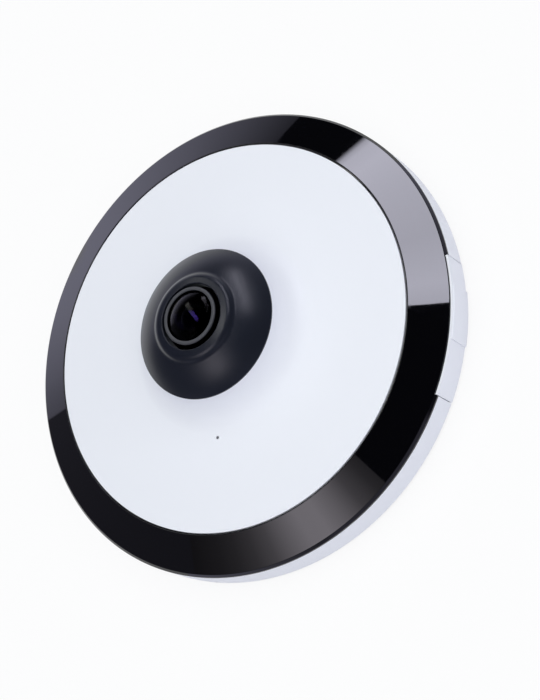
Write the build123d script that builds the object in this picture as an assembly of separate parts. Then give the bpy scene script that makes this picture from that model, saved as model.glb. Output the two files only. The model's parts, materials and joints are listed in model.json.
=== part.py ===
from build123d import *
import os
from math import asin, cos, degrees, radians, sin, tan

# A round fisheye camera, lying on its back. The mounting surface is z = 0, the lens looks
# along +Z on the Z axis, the microphone is on the -Y side and the side cover on the +X side.
# All sizes are millimetres and all angles degrees.

# Clearances: pressed or glued, sliding, free, and between the outer mouldings
hair = 0.05
slide_gap = 0.1
free_gap = 0.2
body_gap = 0.25

# White side wall
body_radius = 64.0
side_wall = 2.0
back_reveal = 1.0
wall_edge_round = 0.3

# Glossy black ring
ring_edge_rise = 0.84
ring_edge_inset = 0.8
ring_slope = 23.8
ring_width = 9.2
ring_thickness = 2.0
ring_lip_width = 2.6
ring_lip_thickness = 1.2
ring_edge_round = 0.2
groove_width = 0.7

# White front panel and its flare
panel_step = 0.24
panel_slope = 3.0
panel_thickness = 1.6
panel_foot = 0.2
panel_foot_width = 1.4
panel_edge_round = 0.25
flare_radius = 7.6
flare_land = 0.3

# Charcoal lens shroud, with three posts that screw to the chassis
shroud_base_radius = 20.35
shroud_base_land = 0.4
shroud_base_inset = 0.05
shroud_crown = 0.55
shroud_height = 7.0
shroud_wall = 1.6
shroud_hole_gap = 0.15
shroud_skirt_depth = 2.0
shroud_skirt_wall = 1.5
shroud_skirt_step = 0.4
shroud_neck_inset = 1.0
shroud_neck_rise = 0.3
collar_width = 2.6
collar_height = 1.0
collar_slope_rise = 0.5
collar_foot = 0.6
collar_round = 0.5
collar_lip_round = 0.3
post_radius = 1.9
post_angles = (90, 190, 350)
post_board_gap = 0.36
post_screw_reach = 5.0

# Lens
lens_head_radius = 7.83
lens_proud = 0.76
lens_gap = 1.03
lens_ring_width = 1.12
lens_ring_thickness = 0.5
lens_ring_round = 0.2
lens_ring_relief = 0.15
lens_ring_land = 0.3
lens_dome_radius = 12.0
lens_dome_back = 5.6
lens_bulge = 1.45
lens_head_wall = 0.88
lens_head_floor = 1.4
lens_rim_height = 2.85
lens_seat_land = 0.5
lens_spacing = 0.1
lens_back_share = 0.72
second_lens_thickness = 2.2
second_lens_front = 9.0
second_lens_back = 4.4
third_lens_sink = 0.6
third_lens_thickness = 1.9
third_lens_front = 14.0
third_lens_back = 6.0
rear_pair_thickness = 2.0
rear_pair_front = 7.5
rear_pair_back = -16.0
stop_opening = 1.3
stop_thickness = 0.4
stop_offset = 0.5
thread_radius = 5.95
thread_wall = 1.35
lens_rear_bore = 3.2
lens_rear_wall = 0.8
lock_ring_thickness = 1.3
lock_ring_wall = 1.4
lock_notch_count = 4
lock_notch_width = 1.6
lock_notch_floor = 0.7

# Mounting plate
plate_thickness = 2.2
plate_gap = 0.6
plate_chamfer = 0.5
hook_count = 3
hook_first_angle = 60
hook_stem_thickness = 2.0
hook_lip_reach = 2.2
hook_lip_thickness = 1.15
hook_span = 11.0
hook_slot_margin = 0.6
hook_stake_gap = 0.9
unlock_angle = 15.0
screw_hook_gap = 12.0
screw_hole_radius = 2.3
screw_head_radius = 3.9
screw_count = 3
screw_first_angle = 90
box_slot_circle = 30.0
box_slot_length = 8.0
box_slot_width = 4.4
box_slot_angles = (45, 135, 225, 315)
cable_hole_margin = 4.5
cable_hole_corner = 3.0

# Housing floor, and the cable chamber that stands on it
floor_gap = 0.3
floor_thickness = 1.4
floor_rib_angles = (90, 150, 210, 270)
floor_rib_start = 14.0
floor_rib_thickness = 1.2
floor_rib_height = 1.2
chamber_length = 22.35
chamber_half_width = 12.6
chamber_wall = 1.4
chamber_roof = 1.2
chamber_low_height = 4.4
chamber_lip = 0.6
plug_room = 7.2
plug_overhead = 1.5

# Side cover over the chamber's end
cover_low_overlap_angle = 0.84
cover_high_overlap_angle = 1.47
cover_grip_first = -5.8
cover_grip_last = 6.0
cover_grip_proud = 0.35
cover_grip_drop = 0.35
cover_grip_round = 0.3
cover_seam = 0.2
cover_lip_drop = 0.15
cover_arm_length = 7.0
cover_arm_thickness = 1.3
cover_arm_root = 0.6

# Screw pillars between housing and panel
pillar_lip_gap = 1.9
pillar_angles = (45, 135, 225, 315)
pillar_radius = 2.5
pillar_foot_extra = 0.5
pillar_foot_height = 4.5
case_screw_head_radius = 2.0
case_screw_head_height = 1.5
case_screw_sink = 0.4
case_screw_radius = 1.1
case_screw_length = 8.0
screw_hole_spare = 0.6
screw_head_round = 0.4
screw_drive_radius = 0.7
screw_drive_depth = 0.7

# Circuit boards and the heat spreading chassis
board_lift = 2.0
board_thickness = 1.2
board_chamber_gap = 0.3
boss_board_edge = 5.25
boss_angles = (50, 130, 230, 310)
boss_radius = 2.5
boss_floor = 0.8
standoff_height = 1.8
standoff_radius = 2.2
standoff_floor = 0.3
small_screw_radius = 0.95
small_head_radius = 1.9
small_head_height = 1.1
chassis_thickness = 1.0
chassis_inset = 0.75
chassis_cut_gap = 0.5
chassis_boss_radius = 1.7
sensor_lift = 0.5
sensor_board_thickness = 1.0
sensor_board_border = 1.7
sensor_board_corner = 1.0
sensor_board_tail = 0.5
sensor_screw_gap = 0.9
sensor_width = 12.0
sensor_depth = 11.0
sensor_height = 1.2
sensor_rim = 2.0
sensor_well = 0.4
sensor_glass_thickness = 0.25
sensor_glass_inset = 1.0
sensor_cover_gap = 0.15

# Board to board connector
connector_length = 16.0
connector_width = 6.0
connector_wall = 1.0
connector_base = 0.6
socket_rise = 1.8

# Chips and other pieces on the main board
processor_place = (-19.0, 14.0)
processor_side = 14.0
processor_height = 1.3
pad_inset = 1.0
memory_x = -24.0
memory_rows = (-3.5, -16.5)
memory_width = 10.0
memory_depth = 9.0
memory_height = 1.0
transformer_place = (25.75, -16.5)
transformer_length = 12.5
transformer_width = 9.0
power_place = (11.25, 28.25)
power_width = 12.5
power_depth = 10.5
power_height = 5.0
power_notch_inset = 2.5
power_notch_depth = 1.2
power_notch_floor = 1.0
capacitor_radius = 2.6
capacitor_columns = (-6.0, 0.0)
capacitor_row = -30.0
power_clearance = 1.5

# Night lighting behind the black ring
led_wall_gap = 1.2
led_board_width = 6.2
led_board_thickness = 1.0
led_ring_gap = 0.58
led_end_angle = 1.3
led_count = 8
led_pitch_angle = 40.0
led_base = 3.0
led_base_height = 0.7
led_dome_radius = 1.2
stake_radius = 1.6
stake_pin_radius = 0.7
stake_pin_proud = 0.3
stake_angles = (60, 140, 220, 300)
light_sensor_angle = 100
light_sensor_length = 2.0
light_sensor_width = 1.6
light_sensor_height = 0.8

# Network jack
jack_length = 21.0
jack_width = 16.0
jack_height = 10.2
jack_headroom = 0.35
jack_shell = 0.3
jack_floor_gap = 0.2
jack_mouth_width = 11.9
jack_mouth_height = 7.0
jack_mouth_depth = 15.0
jack_mouth_sill = 1.0
jack_frame_low = 0.2
jack_frame_high = 0.8
jack_latch_width = 6.2
jack_latch_depth = 0.7
jack_latch_stop = 4.0
contact_count = 8
contact_pitch = 1.27
contact_width = 0.4
contact_length = 8.0
contact_drop = 0.9

# Memory card, its socket and the reset button
card_width = 11.0
card_length = 15.0
card_thickness = 0.7
card_edge = 1.0
card_web = 0.25
card_side_room = 0.5
card_notch_length = 6.4
card_notch_depth = 1.3
socket_length = 14.6
socket_width = 12.6
socket_height = 1.5
socket_back_wall = 0.6
button_radius = 1.5
button_flange_radius = 2.3
button_travel = 0.3
button_recess = 0.2
button_chamber_gap = 11.4
button_socket_gap = 0.65
switch_side = 5.0
switch_height = 1.1

# Day and night filter, in the lens holder
filter_window = 5.6
filter_pitch = 6.0
filter_rim = 1.0
filter_frame_thickness = 0.8
filter_glass_thickness = 0.5
filter_tab_half_width = 1.9
filter_tab_edge = 0.7
filter_cover_thickness = 0.5
rotor_arm_radius = 6.0
rotor_arm_width = 1.2
rotor_arm_thickness = 0.6
rotor_headroom = 0.8
rotor_swing = 60.0
rotor_axis_y = -11.0
rotor_magnet_radius = 2.4
rotor_pin_radius = 0.5
rotor_pin_play = 0.12
rotor_axle_radius = 0.5
yoke_gap = 0.35
yoke_thickness = 1.2
yoke_lift = 0.4
yoke_reach = 2.4
yoke_base = 1.0
coil_thickness = 0.7
coil_layer = 0.35
coil_round = 0.3
coil_back_gap = 0.3
holder_front = 8.5
holder_shoulder = 9.0
holder_neck_half_width = 7.5
holder_side_wall = 1.5
holder_skirt = 1.2
holder_ledge = 0.4
holder_roof = 1.0
holder_corner = 0.8
holder_tube_wall = 1.4
holder_tube_height = 5.3

# Microphone in its rubber boot
microphone_distance = 28.5
microphone_hole_radius = 0.45
microphone_pad_thickness = 1.94
sleeve_depth = 2.5
sleeve_wall = 1.1
sleeve_sink = 0.4
capsule_radius = 2.0
capsule_height = 1.5
capsule_ledge = 0.5
boot_radius = 3.2
boot_roof = 1.2

# How far a cutting shape runs past the face that it cuts
overrun = 1.0

FOOT = (Align.CENTER, Align.CENTER, Align.MIN)


def polar(distance, angle):
    return distance * cos(radians(angle)), distance * sin(radians(angle))


def rod(radius, low, high, at=(0, 0)):
    return Pos(at[0], at[1], low) * Cylinder(radius, high - low, align=FOOT)


def bore(radius, low, high, at=(0, 0)):
    return rod(radius, low - overrun, high + overrun, at)


def block(x_low, x_high, y_low, y_high, z_low, z_high):
    place = Pos((x_low + x_high) / 2, (y_low + y_high) / 2, z_low)
    return place * Box(x_high - x_low, y_high - y_low, z_high - z_low, align=FOOT)


def block_at(centre, length, width, low, high):
    return Pos(centre[0], centre[1], low) * Box(length, width, high - low, align=FOOT)


def outline(points):
    return make_face(Polyline(*points, close=True))


def rounded(face, corner, radius):
    nearest = min(face.vertices(), key=lambda v: (v.X - corner[0]) ** 2 + (v.Y - corner[1]) ** 2)
    return fillet(nearest, radius)


def turned(face):
    return revolve(Plane.XZ * face, Axis.Z)


def washer(inner, outer, low, high):
    return rod(outer, low, high) - bore(inner, low, high)


def sector(inner, outer, first, last, low, high):
    strip = Pos((inner + outer) / 2, (low + high) / 2) * Rectangle(outer - inner, high - low)
    return Rot(0, 0, first) * revolve(Plane.XZ * strip, Axis.Z, last - first)


def joined(shapes):
    whole = shapes[0]
    for shape in shapes[1:]:
        whole = whole + shape
    return whole


def group(shapes):
    return Compound([shape.solid() for shape in shapes])


# Heights from the mounting surface up to the boards
floor_back = plate_thickness + floor_gap
floor_top = floor_back + floor_thickness
board_bottom = floor_top + board_lift
board_top = board_bottom + board_thickness
chassis_bottom = board_top + standoff_height
chassis_top = chassis_bottom + chassis_thickness
sensor_board_bottom = chassis_top + sensor_lift
sensor_board_top = sensor_board_bottom + sensor_board_thickness
sensor_top = sensor_board_top + sensor_height
jack_low = floor_back + jack_floor_gap
jack_high = jack_low + jack_height

# The outside: the side wall is as high as the jack under the panel needs
wall_inside = body_radius - side_wall
chamber_end = wall_inside - body_gap
chamber_start = chamber_end - chamber_length
jack_back = chamber_start - jack_length
ring_outer = body_radius - ring_edge_inset
ring_inner = ring_outer - ring_width
panel_radius = ring_inner - groove_width
panel_hole = shroud_base_radius - panel_thickness
panel_rise = tan(radians(panel_slope))
ring_rise = tan(radians(ring_slope))
panel_edge_z = jack_high + jack_headroom + panel_thickness - (panel_radius - chamber_start) * panel_rise
ring_inner_z = panel_edge_z - panel_step
ring_outer_z = ring_inner_z - ring_width * ring_rise
ring_drop = ring_thickness / cos(radians(ring_slope))
ring_lip_z = panel_edge_z - panel_thickness - panel_foot
ring_lip_inner = ring_inner - ring_lip_width
wall_top = ring_outer_z - ring_edge_rise
flare_corner_z = panel_edge_z + (panel_radius - shroud_base_radius) * panel_rise
flare_top_z = flare_corner_z + flare_radius + flare_land
shroud_top_z = flare_top_z + shroud_height
lens_top_z = shroud_top_z + lens_proud
shroud_opening = lens_head_radius + lens_gap
collar_radius = shroud_opening + collar_width
plate_radius = wall_inside - plate_gap

# Screw pillars and boards
pillar_circle = ring_lip_inner - pillar_lip_gap - pillar_radius
pillar_split = floor_back + pillar_foot_height
case_screw_seat = floor_back + case_screw_sink + case_screw_head_height
main_board_radius = pillar_circle - pillar_radius - pillar_foot_extra - body_gap
chassis_radius = main_board_radius - chassis_inset
boss_circle = main_board_radius - boss_board_edge

# Lighting board, under the ring
led_board_outer = wall_inside - led_wall_gap
led_board_inner = led_board_outer - led_board_width
led_circle = (led_board_inner + led_board_outer) / 2
ring_under_leds = ring_outer_z + (ring_outer - led_circle) * ring_rise - ring_drop
led_board_high = ring_under_leds - led_ring_gap - led_dome_radius - led_base_height
led_board_low = led_board_high - led_board_thickness
hook_circle = led_circle - stake_radius - hook_stake_gap - hook_lip_reach - hook_stem_thickness / 2
screw_circle = hook_circle - screw_hook_gap

# Cable chamber, card socket and side cover
chamber_step = chamber_start + plug_room + chamber_wall
chamber_low_ceiling = floor_back + chamber_low_height
chamber_high_ceiling = jack_high - plug_overhead
card_middle_y = -(jack_width / 2 + card_web + socket_width / 2)
card_middle_z = board_bottom - socket_height / 2
chamber_side_low = card_middle_y - card_width / 2 - card_side_room
chamber_outer_low = chamber_side_low - chamber_wall
chamber_outer_half = chamber_half_width + chamber_wall
button_x = chamber_start - button_chamber_gap
button_y = card_middle_y - socket_width / 2 - button_socket_gap - switch_side / 2
led_board_gap_angle = degrees(asin(-chamber_outer_low / led_board_inner)) + led_end_angle
cover_first_angle = degrees(asin(chamber_side_low / wall_inside)) - cover_low_overlap_angle
cover_last_angle = degrees(asin(chamber_half_width / wall_inside)) + cover_high_overlap_angle

# Lens holder and filter drive
filter_room_height = 2 * slide_gap + filter_frame_thickness + rotor_arm_thickness + rotor_headroom
filter_cover_low = sensor_top + sensor_glass_thickness + sensor_cover_gap
filter_floor = filter_cover_low + filter_cover_thickness
filter_roof = filter_floor + filter_room_height
holder_top = filter_roof + holder_roof
holder_tube_top = holder_top + holder_tube_height
frame_low = filter_floor + slide_gap
frame_high = frame_low + filter_frame_thickness
frame_half_height = filter_window / 2 + filter_rim
frame_half_length = (filter_pitch + filter_window) / 2 + filter_rim
half_travel = rotor_arm_radius * sin(radians(rotor_swing / 2))
arm_low = frame_high + slide_gap
arm_high = arm_low + rotor_arm_thickness
pin_near_y = rotor_axis_y + rotor_arm_radius * cos(radians(rotor_swing / 2))
pin_far_y = rotor_axis_y + rotor_arm_radius
pin_room = rotor_pin_radius + rotor_pin_play
tab_low_y = pin_near_y - pin_room - filter_tab_edge
yoke_far_y = rotor_axis_y - rotor_magnet_radius - yoke_reach
yoke_low = frame_low + yoke_lift
drive_back = -(yoke_far_y - coil_thickness) + coil_back_gap
holder_back = drive_back + holder_ledge + holder_skirt
holder_half_width = frame_half_length + half_travel + free_gap + holder_side_wall
sensor_board_half_width = holder_half_width + sensor_board_border
sensor_screw_x = sensor_board_half_width - small_head_radius
sensor_screw_front = holder_front + sensor_screw_gap + small_head_radius
sensor_screw_back = holder_shoulder + sensor_screw_gap + small_head_radius
sensor_board_front = sensor_screw_front + small_head_radius
sensor_board_back = holder_back + sensor_board_tail
post_tilt = cos(radians(post_angles[1] - 180))
post_circle = (sensor_board_half_width + post_board_gap + post_radius) / post_tilt

# Lens stack
lock_ring_low = holder_tube_top + hair
lens_head_low = lock_ring_low + lock_ring_thickness + free_gap
lens_head_bore = lens_head_radius - lens_head_wall
lens_window = lens_head_radius - lens_ring_width
lens_rear_z = filter_roof + hair
lens_bore = thread_radius - thread_wall
lens_seat_bore = lens_bore + lens_seat_land
front_lens_rim = lens_head_bore - hair
front_lens_apex = lens_top_z + lens_bulge
front_lens_seat = lens_top_z - lens_rim_height

# Microphone
microphone_place = (0, -microphone_distance)
microphone_panel_z = panel_edge_z + (panel_radius - microphone_distance) * panel_rise
boot_top = microphone_panel_z - microphone_pad_thickness
capsule_top = boot_top - boot_roof


def mounting_plate():
    plate = rod(plate_radius, 0, plate_thickness)
    plate = chamfer(plate.edges().filter_by(GeomType.CIRCLE).sort_by(Axis.Z)[-1], plate_chamfer)
    stem_inner = hook_circle - hook_stem_thickness / 2
    stem_outer = hook_circle + hook_stem_thickness / 2
    lip_low = floor_top + free_gap
    lip_high = lip_low + hook_lip_thickness
    for index in range(hook_count):
        middle = hook_first_angle + index * 360 / hook_count
        first = middle - hook_span / 2
        last = middle + hook_span / 2
        plate += sector(stem_inner, stem_outer, first, last, plate_thickness / 2, lip_high)
        plate += sector(stem_inner, stem_outer + hook_lip_reach, first, last, lip_low, lip_high)
    sink = screw_head_radius - screw_hole_radius
    countersink = Cone(screw_hole_radius, screw_head_radius, sink, align=FOOT)
    for index in range(screw_count):
        place = polar(screw_circle, screw_first_angle + index * 360 / screw_count)
        plate -= bore(screw_hole_radius, 0, plate_thickness, place)
        plate -= Pos(place[0], place[1], plate_thickness - sink) * countersink
    slot = extrude(SlotOverall(box_slot_length, box_slot_width), plate_thickness + 2 * overrun)
    for angle in box_slot_angles:
        plate -= Rot(0, 0, angle) * Pos(box_slot_circle, 0, -overrun) * slot
    hole_low = chamber_start + chamber_wall
    hole_high = chamber_end - cable_hole_margin
    side_low = chamber_side_low + chamber_wall
    side_high = chamber_half_width - chamber_wall
    hole = block(hole_low, hole_high, side_low, side_high, -overrun, plate_thickness + overrun)
    return plate - fillet(hole.edges().filter_by(Axis.Z), cable_hole_corner)


# Openings in the housing floor that the hooks enter, and the narrower slots they turn into
def hook_slots():
    stem_inner = hook_circle - hook_stem_thickness / 2 - body_gap
    stem_outer = hook_circle + hook_stem_thickness / 2 + body_gap
    lip_outer = stem_outer + hook_lip_reach
    low = floor_back - overrun
    high = floor_top + hair
    half = hook_span / 2 + hook_slot_margin
    cuts = []
    for index in range(hook_count):
        locked = hook_first_angle + index * 360 / hook_count
        free = locked - unlock_angle
        cuts.append(sector(stem_inner, stem_outer, free - half, locked + half, low, high))
        cuts.append(sector(stem_inner, lip_outer, free - half, free + half, low, high))
    return joined(cuts)


def chamber_hollow():
    half = chamber_half_width
    back = floor_back - overrun
    step = chamber_step - chamber_wall
    end = body_radius + overrun
    high = block(chamber_start, step, -half, half, back, chamber_high_ceiling)
    low = block(chamber_start, end, chamber_side_low, half, back, chamber_low_ceiling)
    return high + low


# The space that a memory card slides in, along X
def card_room(start, end):
    half = card_width / 2 + slide_gap
    low = card_middle_z - card_thickness / 2 - slide_gap
    high = card_middle_z + card_thickness / 2 + slide_gap
    return block(start, end, card_middle_y - half, card_middle_y + half, low, high)


# Room for the network jack in the floor or in a board
def jack_cut(gap, low, high):
    half = jack_width / 2 + gap
    return block(jack_back - gap, chamber_start, -half, half, low, high)


# The hole in the floor under the chamber; the chamber's lip reaches down into it
def chamber_floor_hole(gap):
    margin = chamber_lip + gap
    low_y = chamber_side_low - margin
    high_y = chamber_half_width + margin
    end = body_radius + overrun
    return block(chamber_start - margin, end, low_y, high_y, floor_back - overrun, floor_top + overrun)


def cable_chamber():
    start = chamber_start - chamber_wall
    outer = chamber_outer_half
    high_top = chamber_high_ceiling + chamber_roof
    low_top = chamber_low_ceiling + chamber_roof
    low_z = floor_back + hair
    high = block(start, chamber_step, -outer, outer, low_z, high_top)
    low = block(start, body_radius, chamber_outer_low, outer, low_z, low_top)
    lip = chamber_floor_hole(0) & rod(body_radius, low_z, floor_top + hair)
    shell = (high + low) - rod(body_radius, 0, floor_top + hair) + lip
    shell &= rod(chamber_end, 0, high_top)
    shell -= chamber_hollow()
    jack_half = jack_width / 2 + slide_gap
    jack_end = chamber_start + overrun
    shell -= block(start - overrun, jack_end, -jack_half, jack_half, 0, high_top + overrun)
    return shell - card_room(start - overrun, jack_end)


def cover_opening():
    top = wall_top + overrun
    return sector(chamber_end, body_radius + overrun, cover_first_angle, cover_last_angle, 0, top)


def base_housing():
    rim = [
        (wall_inside, back_reveal),
        (body_radius, back_reveal),
        (body_radius, wall_top),
        (wall_inside, wall_top),
    ]
    wall_face = rounded(outline(rim), (body_radius, back_reveal), wall_edge_round)
    housing = turned(wall_face) + rod(wall_inside, floor_back, floor_top)
    for angle in floor_rib_angles:
        half = floor_rib_thickness / 2
        rib_top = floor_top + floor_rib_height
        rib = block(floor_rib_start, boss_circle, -half, half, floor_back, rib_top)
        housing += Rot(0, 0, angle) * rib
    for angle in boss_angles:
        place = polar(boss_circle, angle)
        housing += rod(boss_radius, floor_back, board_bottom, place)
        hole_low = floor_back + boss_floor
        housing -= rod(small_screw_radius + hair, hole_low, board_bottom + overrun, place)
    for angle in pillar_angles:
        place = polar(pillar_circle, angle)
        housing += rod(pillar_radius + pillar_foot_extra, floor_back, pillar_split, place)
        housing -= rod(case_screw_head_radius + free_gap, 0, case_screw_seat, place)
        housing -= bore(case_screw_radius + slide_gap, 0, pillar_split, place)
    for angle in stake_angles:
        place = polar(led_circle, angle)
        housing += rod(stake_radius, floor_back, led_board_low, place)
        housing += rod(stake_pin_radius, floor_back, led_board_high + stake_pin_proud, place)
    housing -= hook_slots()
    housing -= chamber_floor_hole(slide_gap) & rod(wall_inside, 0, wall_top)
    housing -= jack_cut(slide_gap, floor_back - overrun, floor_top + overrun)
    housing -= bore(button_radius + slide_gap, floor_back, floor_top, (button_x, button_y))
    return housing - cover_opening()


def side_cover():
    seam_angle = degrees(cover_seam / body_radius)
    first = cover_first_angle + seam_angle
    last = cover_last_angle - seam_angle
    inner = wall_inside + hair
    lip_inner = ring_outer + body_gap
    lip_top = ring_outer_z - cover_lip_drop
    wall = sector(inner, body_radius, first, last, back_reveal, wall_top - cover_lip_drop)
    lip = sector(lip_inner, body_radius, first, last, back_reveal, lip_top)
    cover = wall + lip
    proud = body_radius + cover_grip_proud
    grip_top = lip_top - cover_grip_drop
    grip = sector(lip_inner, proud, cover_grip_first, cover_grip_last, back_reveal, grip_top)
    grip_edges = grip.edges().filter_by(lambda edge: edge.center().X > ring_outer)
    cover += fillet(grip_edges.sort_by(Axis.Z)[-1], cover_grip_round)
    arm_low = floor_back + free_gap
    arm_high = chamber_low_ceiling - free_gap
    arm_start = inner - cover_arm_length
    arm_end = inner + cover_arm_root
    low_side = chamber_side_low + slide_gap
    high_side = chamber_half_width - slide_gap - cover_arm_thickness
    for side in (low_side, high_side):
        arm = block(arm_start, arm_end, side, side + cover_arm_thickness, arm_low, arm_high)
        cover += arm & rod(arm_end, 0, wall_top)
    return cover


def trim_ring():
    lip_low = ring_lip_z - ring_lip_thickness
    under_lip = ring_outer - (lip_low + ring_drop - ring_outer_z) / ring_rise
    spigot = wall_inside - free_gap
    spigot_z = ring_outer_z + (ring_outer - spigot) * ring_rise - ring_drop
    points = [
        (ring_lip_inner, lip_low),
        (under_lip, lip_low),
        (spigot, spigot_z),
        (spigot, wall_top),
        (body_radius, wall_top),
        (ring_outer, ring_outer_z),
        (ring_inner, ring_inner_z),
        (ring_inner, ring_lip_z),
        (ring_lip_inner, ring_lip_z),
    ]
    ring = turned(rounded(outline(points), (ring_inner, ring_inner_z), ring_edge_round))
    edge = body_radius + overrun
    notch_low = wall_top - overrun
    notch_high = ring_outer_z + cover_seam / 2
    return ring - sector(ring_outer, edge, cover_first_angle, cover_last_angle, notch_low, notch_high)


def front_panel():
    edge_inner = panel_radius - panel_foot_width
    under_edge_z = panel_edge_z - panel_thickness + panel_foot_width * panel_rise
    under_corner_z = panel_edge_z - panel_thickness + (panel_radius - panel_hole) * panel_rise
    points = [
        (panel_hole, flare_top_z),
        (shroud_base_radius, flare_top_z),
        (shroud_base_radius, flare_corner_z),
        (panel_radius, panel_edge_z),
        (panel_radius, ring_lip_z),
        (edge_inner, ring_lip_z),
        (edge_inner, under_edge_z),
        (panel_hole, under_corner_z),
    ]
    face = outline(points)
    face = rounded(face, (shroud_base_radius, flare_corner_z), flare_radius)
    face = rounded(face, (panel_hole, under_corner_z), flare_radius + panel_thickness)
    face = rounded(face, (panel_radius, panel_edge_z), panel_edge_round)
    panel = turned(face)
    sleeve_low = boot_top - sleeve_depth
    sleeve_high = microphone_panel_z - sleeve_sink
    panel += rod(boot_radius + sleeve_wall, sleeve_low, sleeve_high, microphone_place)
    panel -= rod(boot_radius + slide_gap, sleeve_low - overrun, boot_top, microphone_place)
    panel -= rod(microphone_hole_radius, sleeve_low, flare_top_z, microphone_place)
    for angle in pillar_angles:
        place = polar(pillar_circle, angle)
        pillar_top = panel_edge_z - panel_thickness / 2
        panel += rod(pillar_radius, pillar_split + hair, pillar_top, place)
        hole_top = case_screw_seat + case_screw_length + screw_hole_spare
        panel -= rod(case_screw_radius + hair, pillar_split - overrun, hole_top, place)
    return panel


def lens_shroud():
    top = shroud_top_z
    collar_z = top - collar_slope_rise
    foot = (collar_radius + collar_foot, collar_z - collar_height)
    base = (shroud_base_radius - shroud_base_inset, flare_top_z + shroud_base_land)
    run = base[0] - foot[0]
    rise = foot[1] - base[1]
    length = (run ** 2 + rise ** 2) ** 0.5
    middle = (
        (base[0] + foot[0]) / 2 + shroud_crown * rise / length,
        (base[1] + foot[1]) / 2 + shroud_crown * run / length,
    )
    edges = [
        Line((0, flare_top_z), (base[0], flare_top_z)),
        Line((base[0], flare_top_z), base),
        ThreePointArc(base, middle, foot),
        Line(foot, (collar_radius, collar_z)),
        Line((collar_radius, collar_z), (shroud_opening, top)),
        Line((shroud_opening, top), (0, top)),
        Line((0, top), (0, flare_top_z)),
    ]
    skin = make_face(edges)
    skin = rounded(skin, (collar_radius, collar_z), collar_round)
    skin = rounded(skin, (shroud_opening, top), collar_lip_round)
    skin = rounded(skin, foot, collar_round)
    envelope = turned(skin)
    skirt_outer = panel_hole - shroud_hole_gap
    skirt_inner = skirt_outer - shroud_skirt_wall
    skirt_low = flare_top_z - shroud_skirt_depth
    envelope += rod(skirt_outer, skirt_low, flare_top_z + shroud_base_land / 2)
    neck_z = foot[1] - shroud_wall
    hollow = outline([
        (0, skirt_low - overrun),
        (skirt_inner, skirt_low - overrun),
        (skirt_inner, flare_top_z - shroud_skirt_step),
        (foot[0] - shroud_neck_inset, neck_z),
        (shroud_opening, neck_z + shroud_neck_rise),
        (shroud_opening, top + overrun),
        (0, top + overrun),
    ])
    shroud = envelope - turned(hollow)
    throat = bore(shroud_opening, skirt_low, top)
    for angle in post_angles:
        place = polar(post_circle, angle)
        post = rod(post_radius, chassis_top, skirt_low, place)
        root = (rod(post_radius, skirt_low, top, place) & envelope) - throat
        shroud += post + root
    for angle in post_angles:
        place = polar(post_circle, angle)
        hole_top = chassis_top + post_screw_reach + screw_hole_spare
        shroud -= rod(small_screw_radius + hair, chassis_top - overrun, hole_top, place)
    return shroud


def lens_barrel():
    step_z = lens_head_low + lens_head_floor
    top = lens_top_z - lens_ring_thickness
    rear_z = lens_rear_z + lens_rear_wall
    points = [
        (lens_rear_bore, lens_rear_z),
        (thread_radius, lens_rear_z),
        (thread_radius, lens_head_low),
        (lens_head_radius, lens_head_low),
        (lens_head_radius, top),
        (lens_head_bore, top),
        (lens_head_bore, front_lens_seat),
        (lens_seat_bore, front_lens_seat),
        (lens_seat_bore, step_z),
        (lens_bore, step_z),
        (lens_bore, rear_z),
        (lens_rear_bore, rear_z),
    ]
    return turned(outline(points))


def lens_front_ring():
    low = lens_top_z - lens_ring_thickness
    points = [
        (lens_window, low + lens_ring_relief),
        (lens_window + lens_ring_land, low),
        (lens_head_radius, low),
        (lens_head_radius, lens_top_z),
        (lens_window, lens_top_z),
    ]
    return turned(rounded(outline(points), (lens_head_radius, lens_top_z), lens_ring_round))


# Height of a round face over the plane of its rim; with a negative radius the face sinks
def bulge(radius, distance):
    drop = abs(radius) - (radius ** 2 - distance ** 2) ** 0.5
    return drop if radius > 0 else -drop


# A lens element between its rim planes; the back face is narrower than the front one
def glass(rim, low, high, front_radius, back_radius):
    back_rim = rim * lens_back_share
    front_z = high + bulge(front_radius, rim)
    back_z = low + bulge(back_radius, back_rim)
    edges = [
        Line((0, back_z), (0, front_z)),
        ThreePointArc((0, front_z), (rim / 2, front_z - bulge(front_radius, rim / 2)), (rim, high)),
        Line((rim, high), (rim, low)),
        Line((rim, low), (back_rim, low)),
        ThreePointArc(
            (back_rim, low),
            (back_rim / 2, back_z - bulge(back_radius, back_rim / 2)),
            (0, back_z),
        ),
    ]
    return turned(make_face(edges))


def front_lens():
    high = front_lens_apex - bulge(lens_dome_radius, front_lens_rim)
    return glass(front_lens_rim, front_lens_seat, high, lens_dome_radius, lens_dome_back)


def second_lens():
    high = front_lens_seat - lens_spacing
    low = high - second_lens_thickness
    return glass(lens_seat_bore - hair, low, high, second_lens_front, second_lens_back)


def third_lens():
    low = lens_head_low - third_lens_sink
    return glass(lens_bore - hair, low, low + third_lens_thickness, third_lens_front, third_lens_back)


def aperture_stop():
    low = (lens_head_low + lens_rear_z) / 2 + stop_offset
    return washer(stop_opening, lens_bore - hair, low, low + stop_thickness)


def rear_lens_pair():
    low = lens_rear_z + lens_rear_wall + hair
    return glass(lens_bore - hair, low, low + rear_pair_thickness, rear_pair_front, rear_pair_back)


def lens_lock_ring():
    inner = thread_radius + hair
    outer = inner + lock_ring_wall
    low = lock_ring_low
    high = low + lock_ring_thickness
    ring = washer(inner, outer, low, high)
    half = lock_notch_width / 2
    notch_start = inner + lock_notch_floor
    notch = block(notch_start, outer + overrun, -half, half, low - overrun, high + overrun)
    for index in range(lock_notch_count):
        ring -= Rot(0, 0, index * 360 / lock_notch_count) * notch
    return ring


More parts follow.
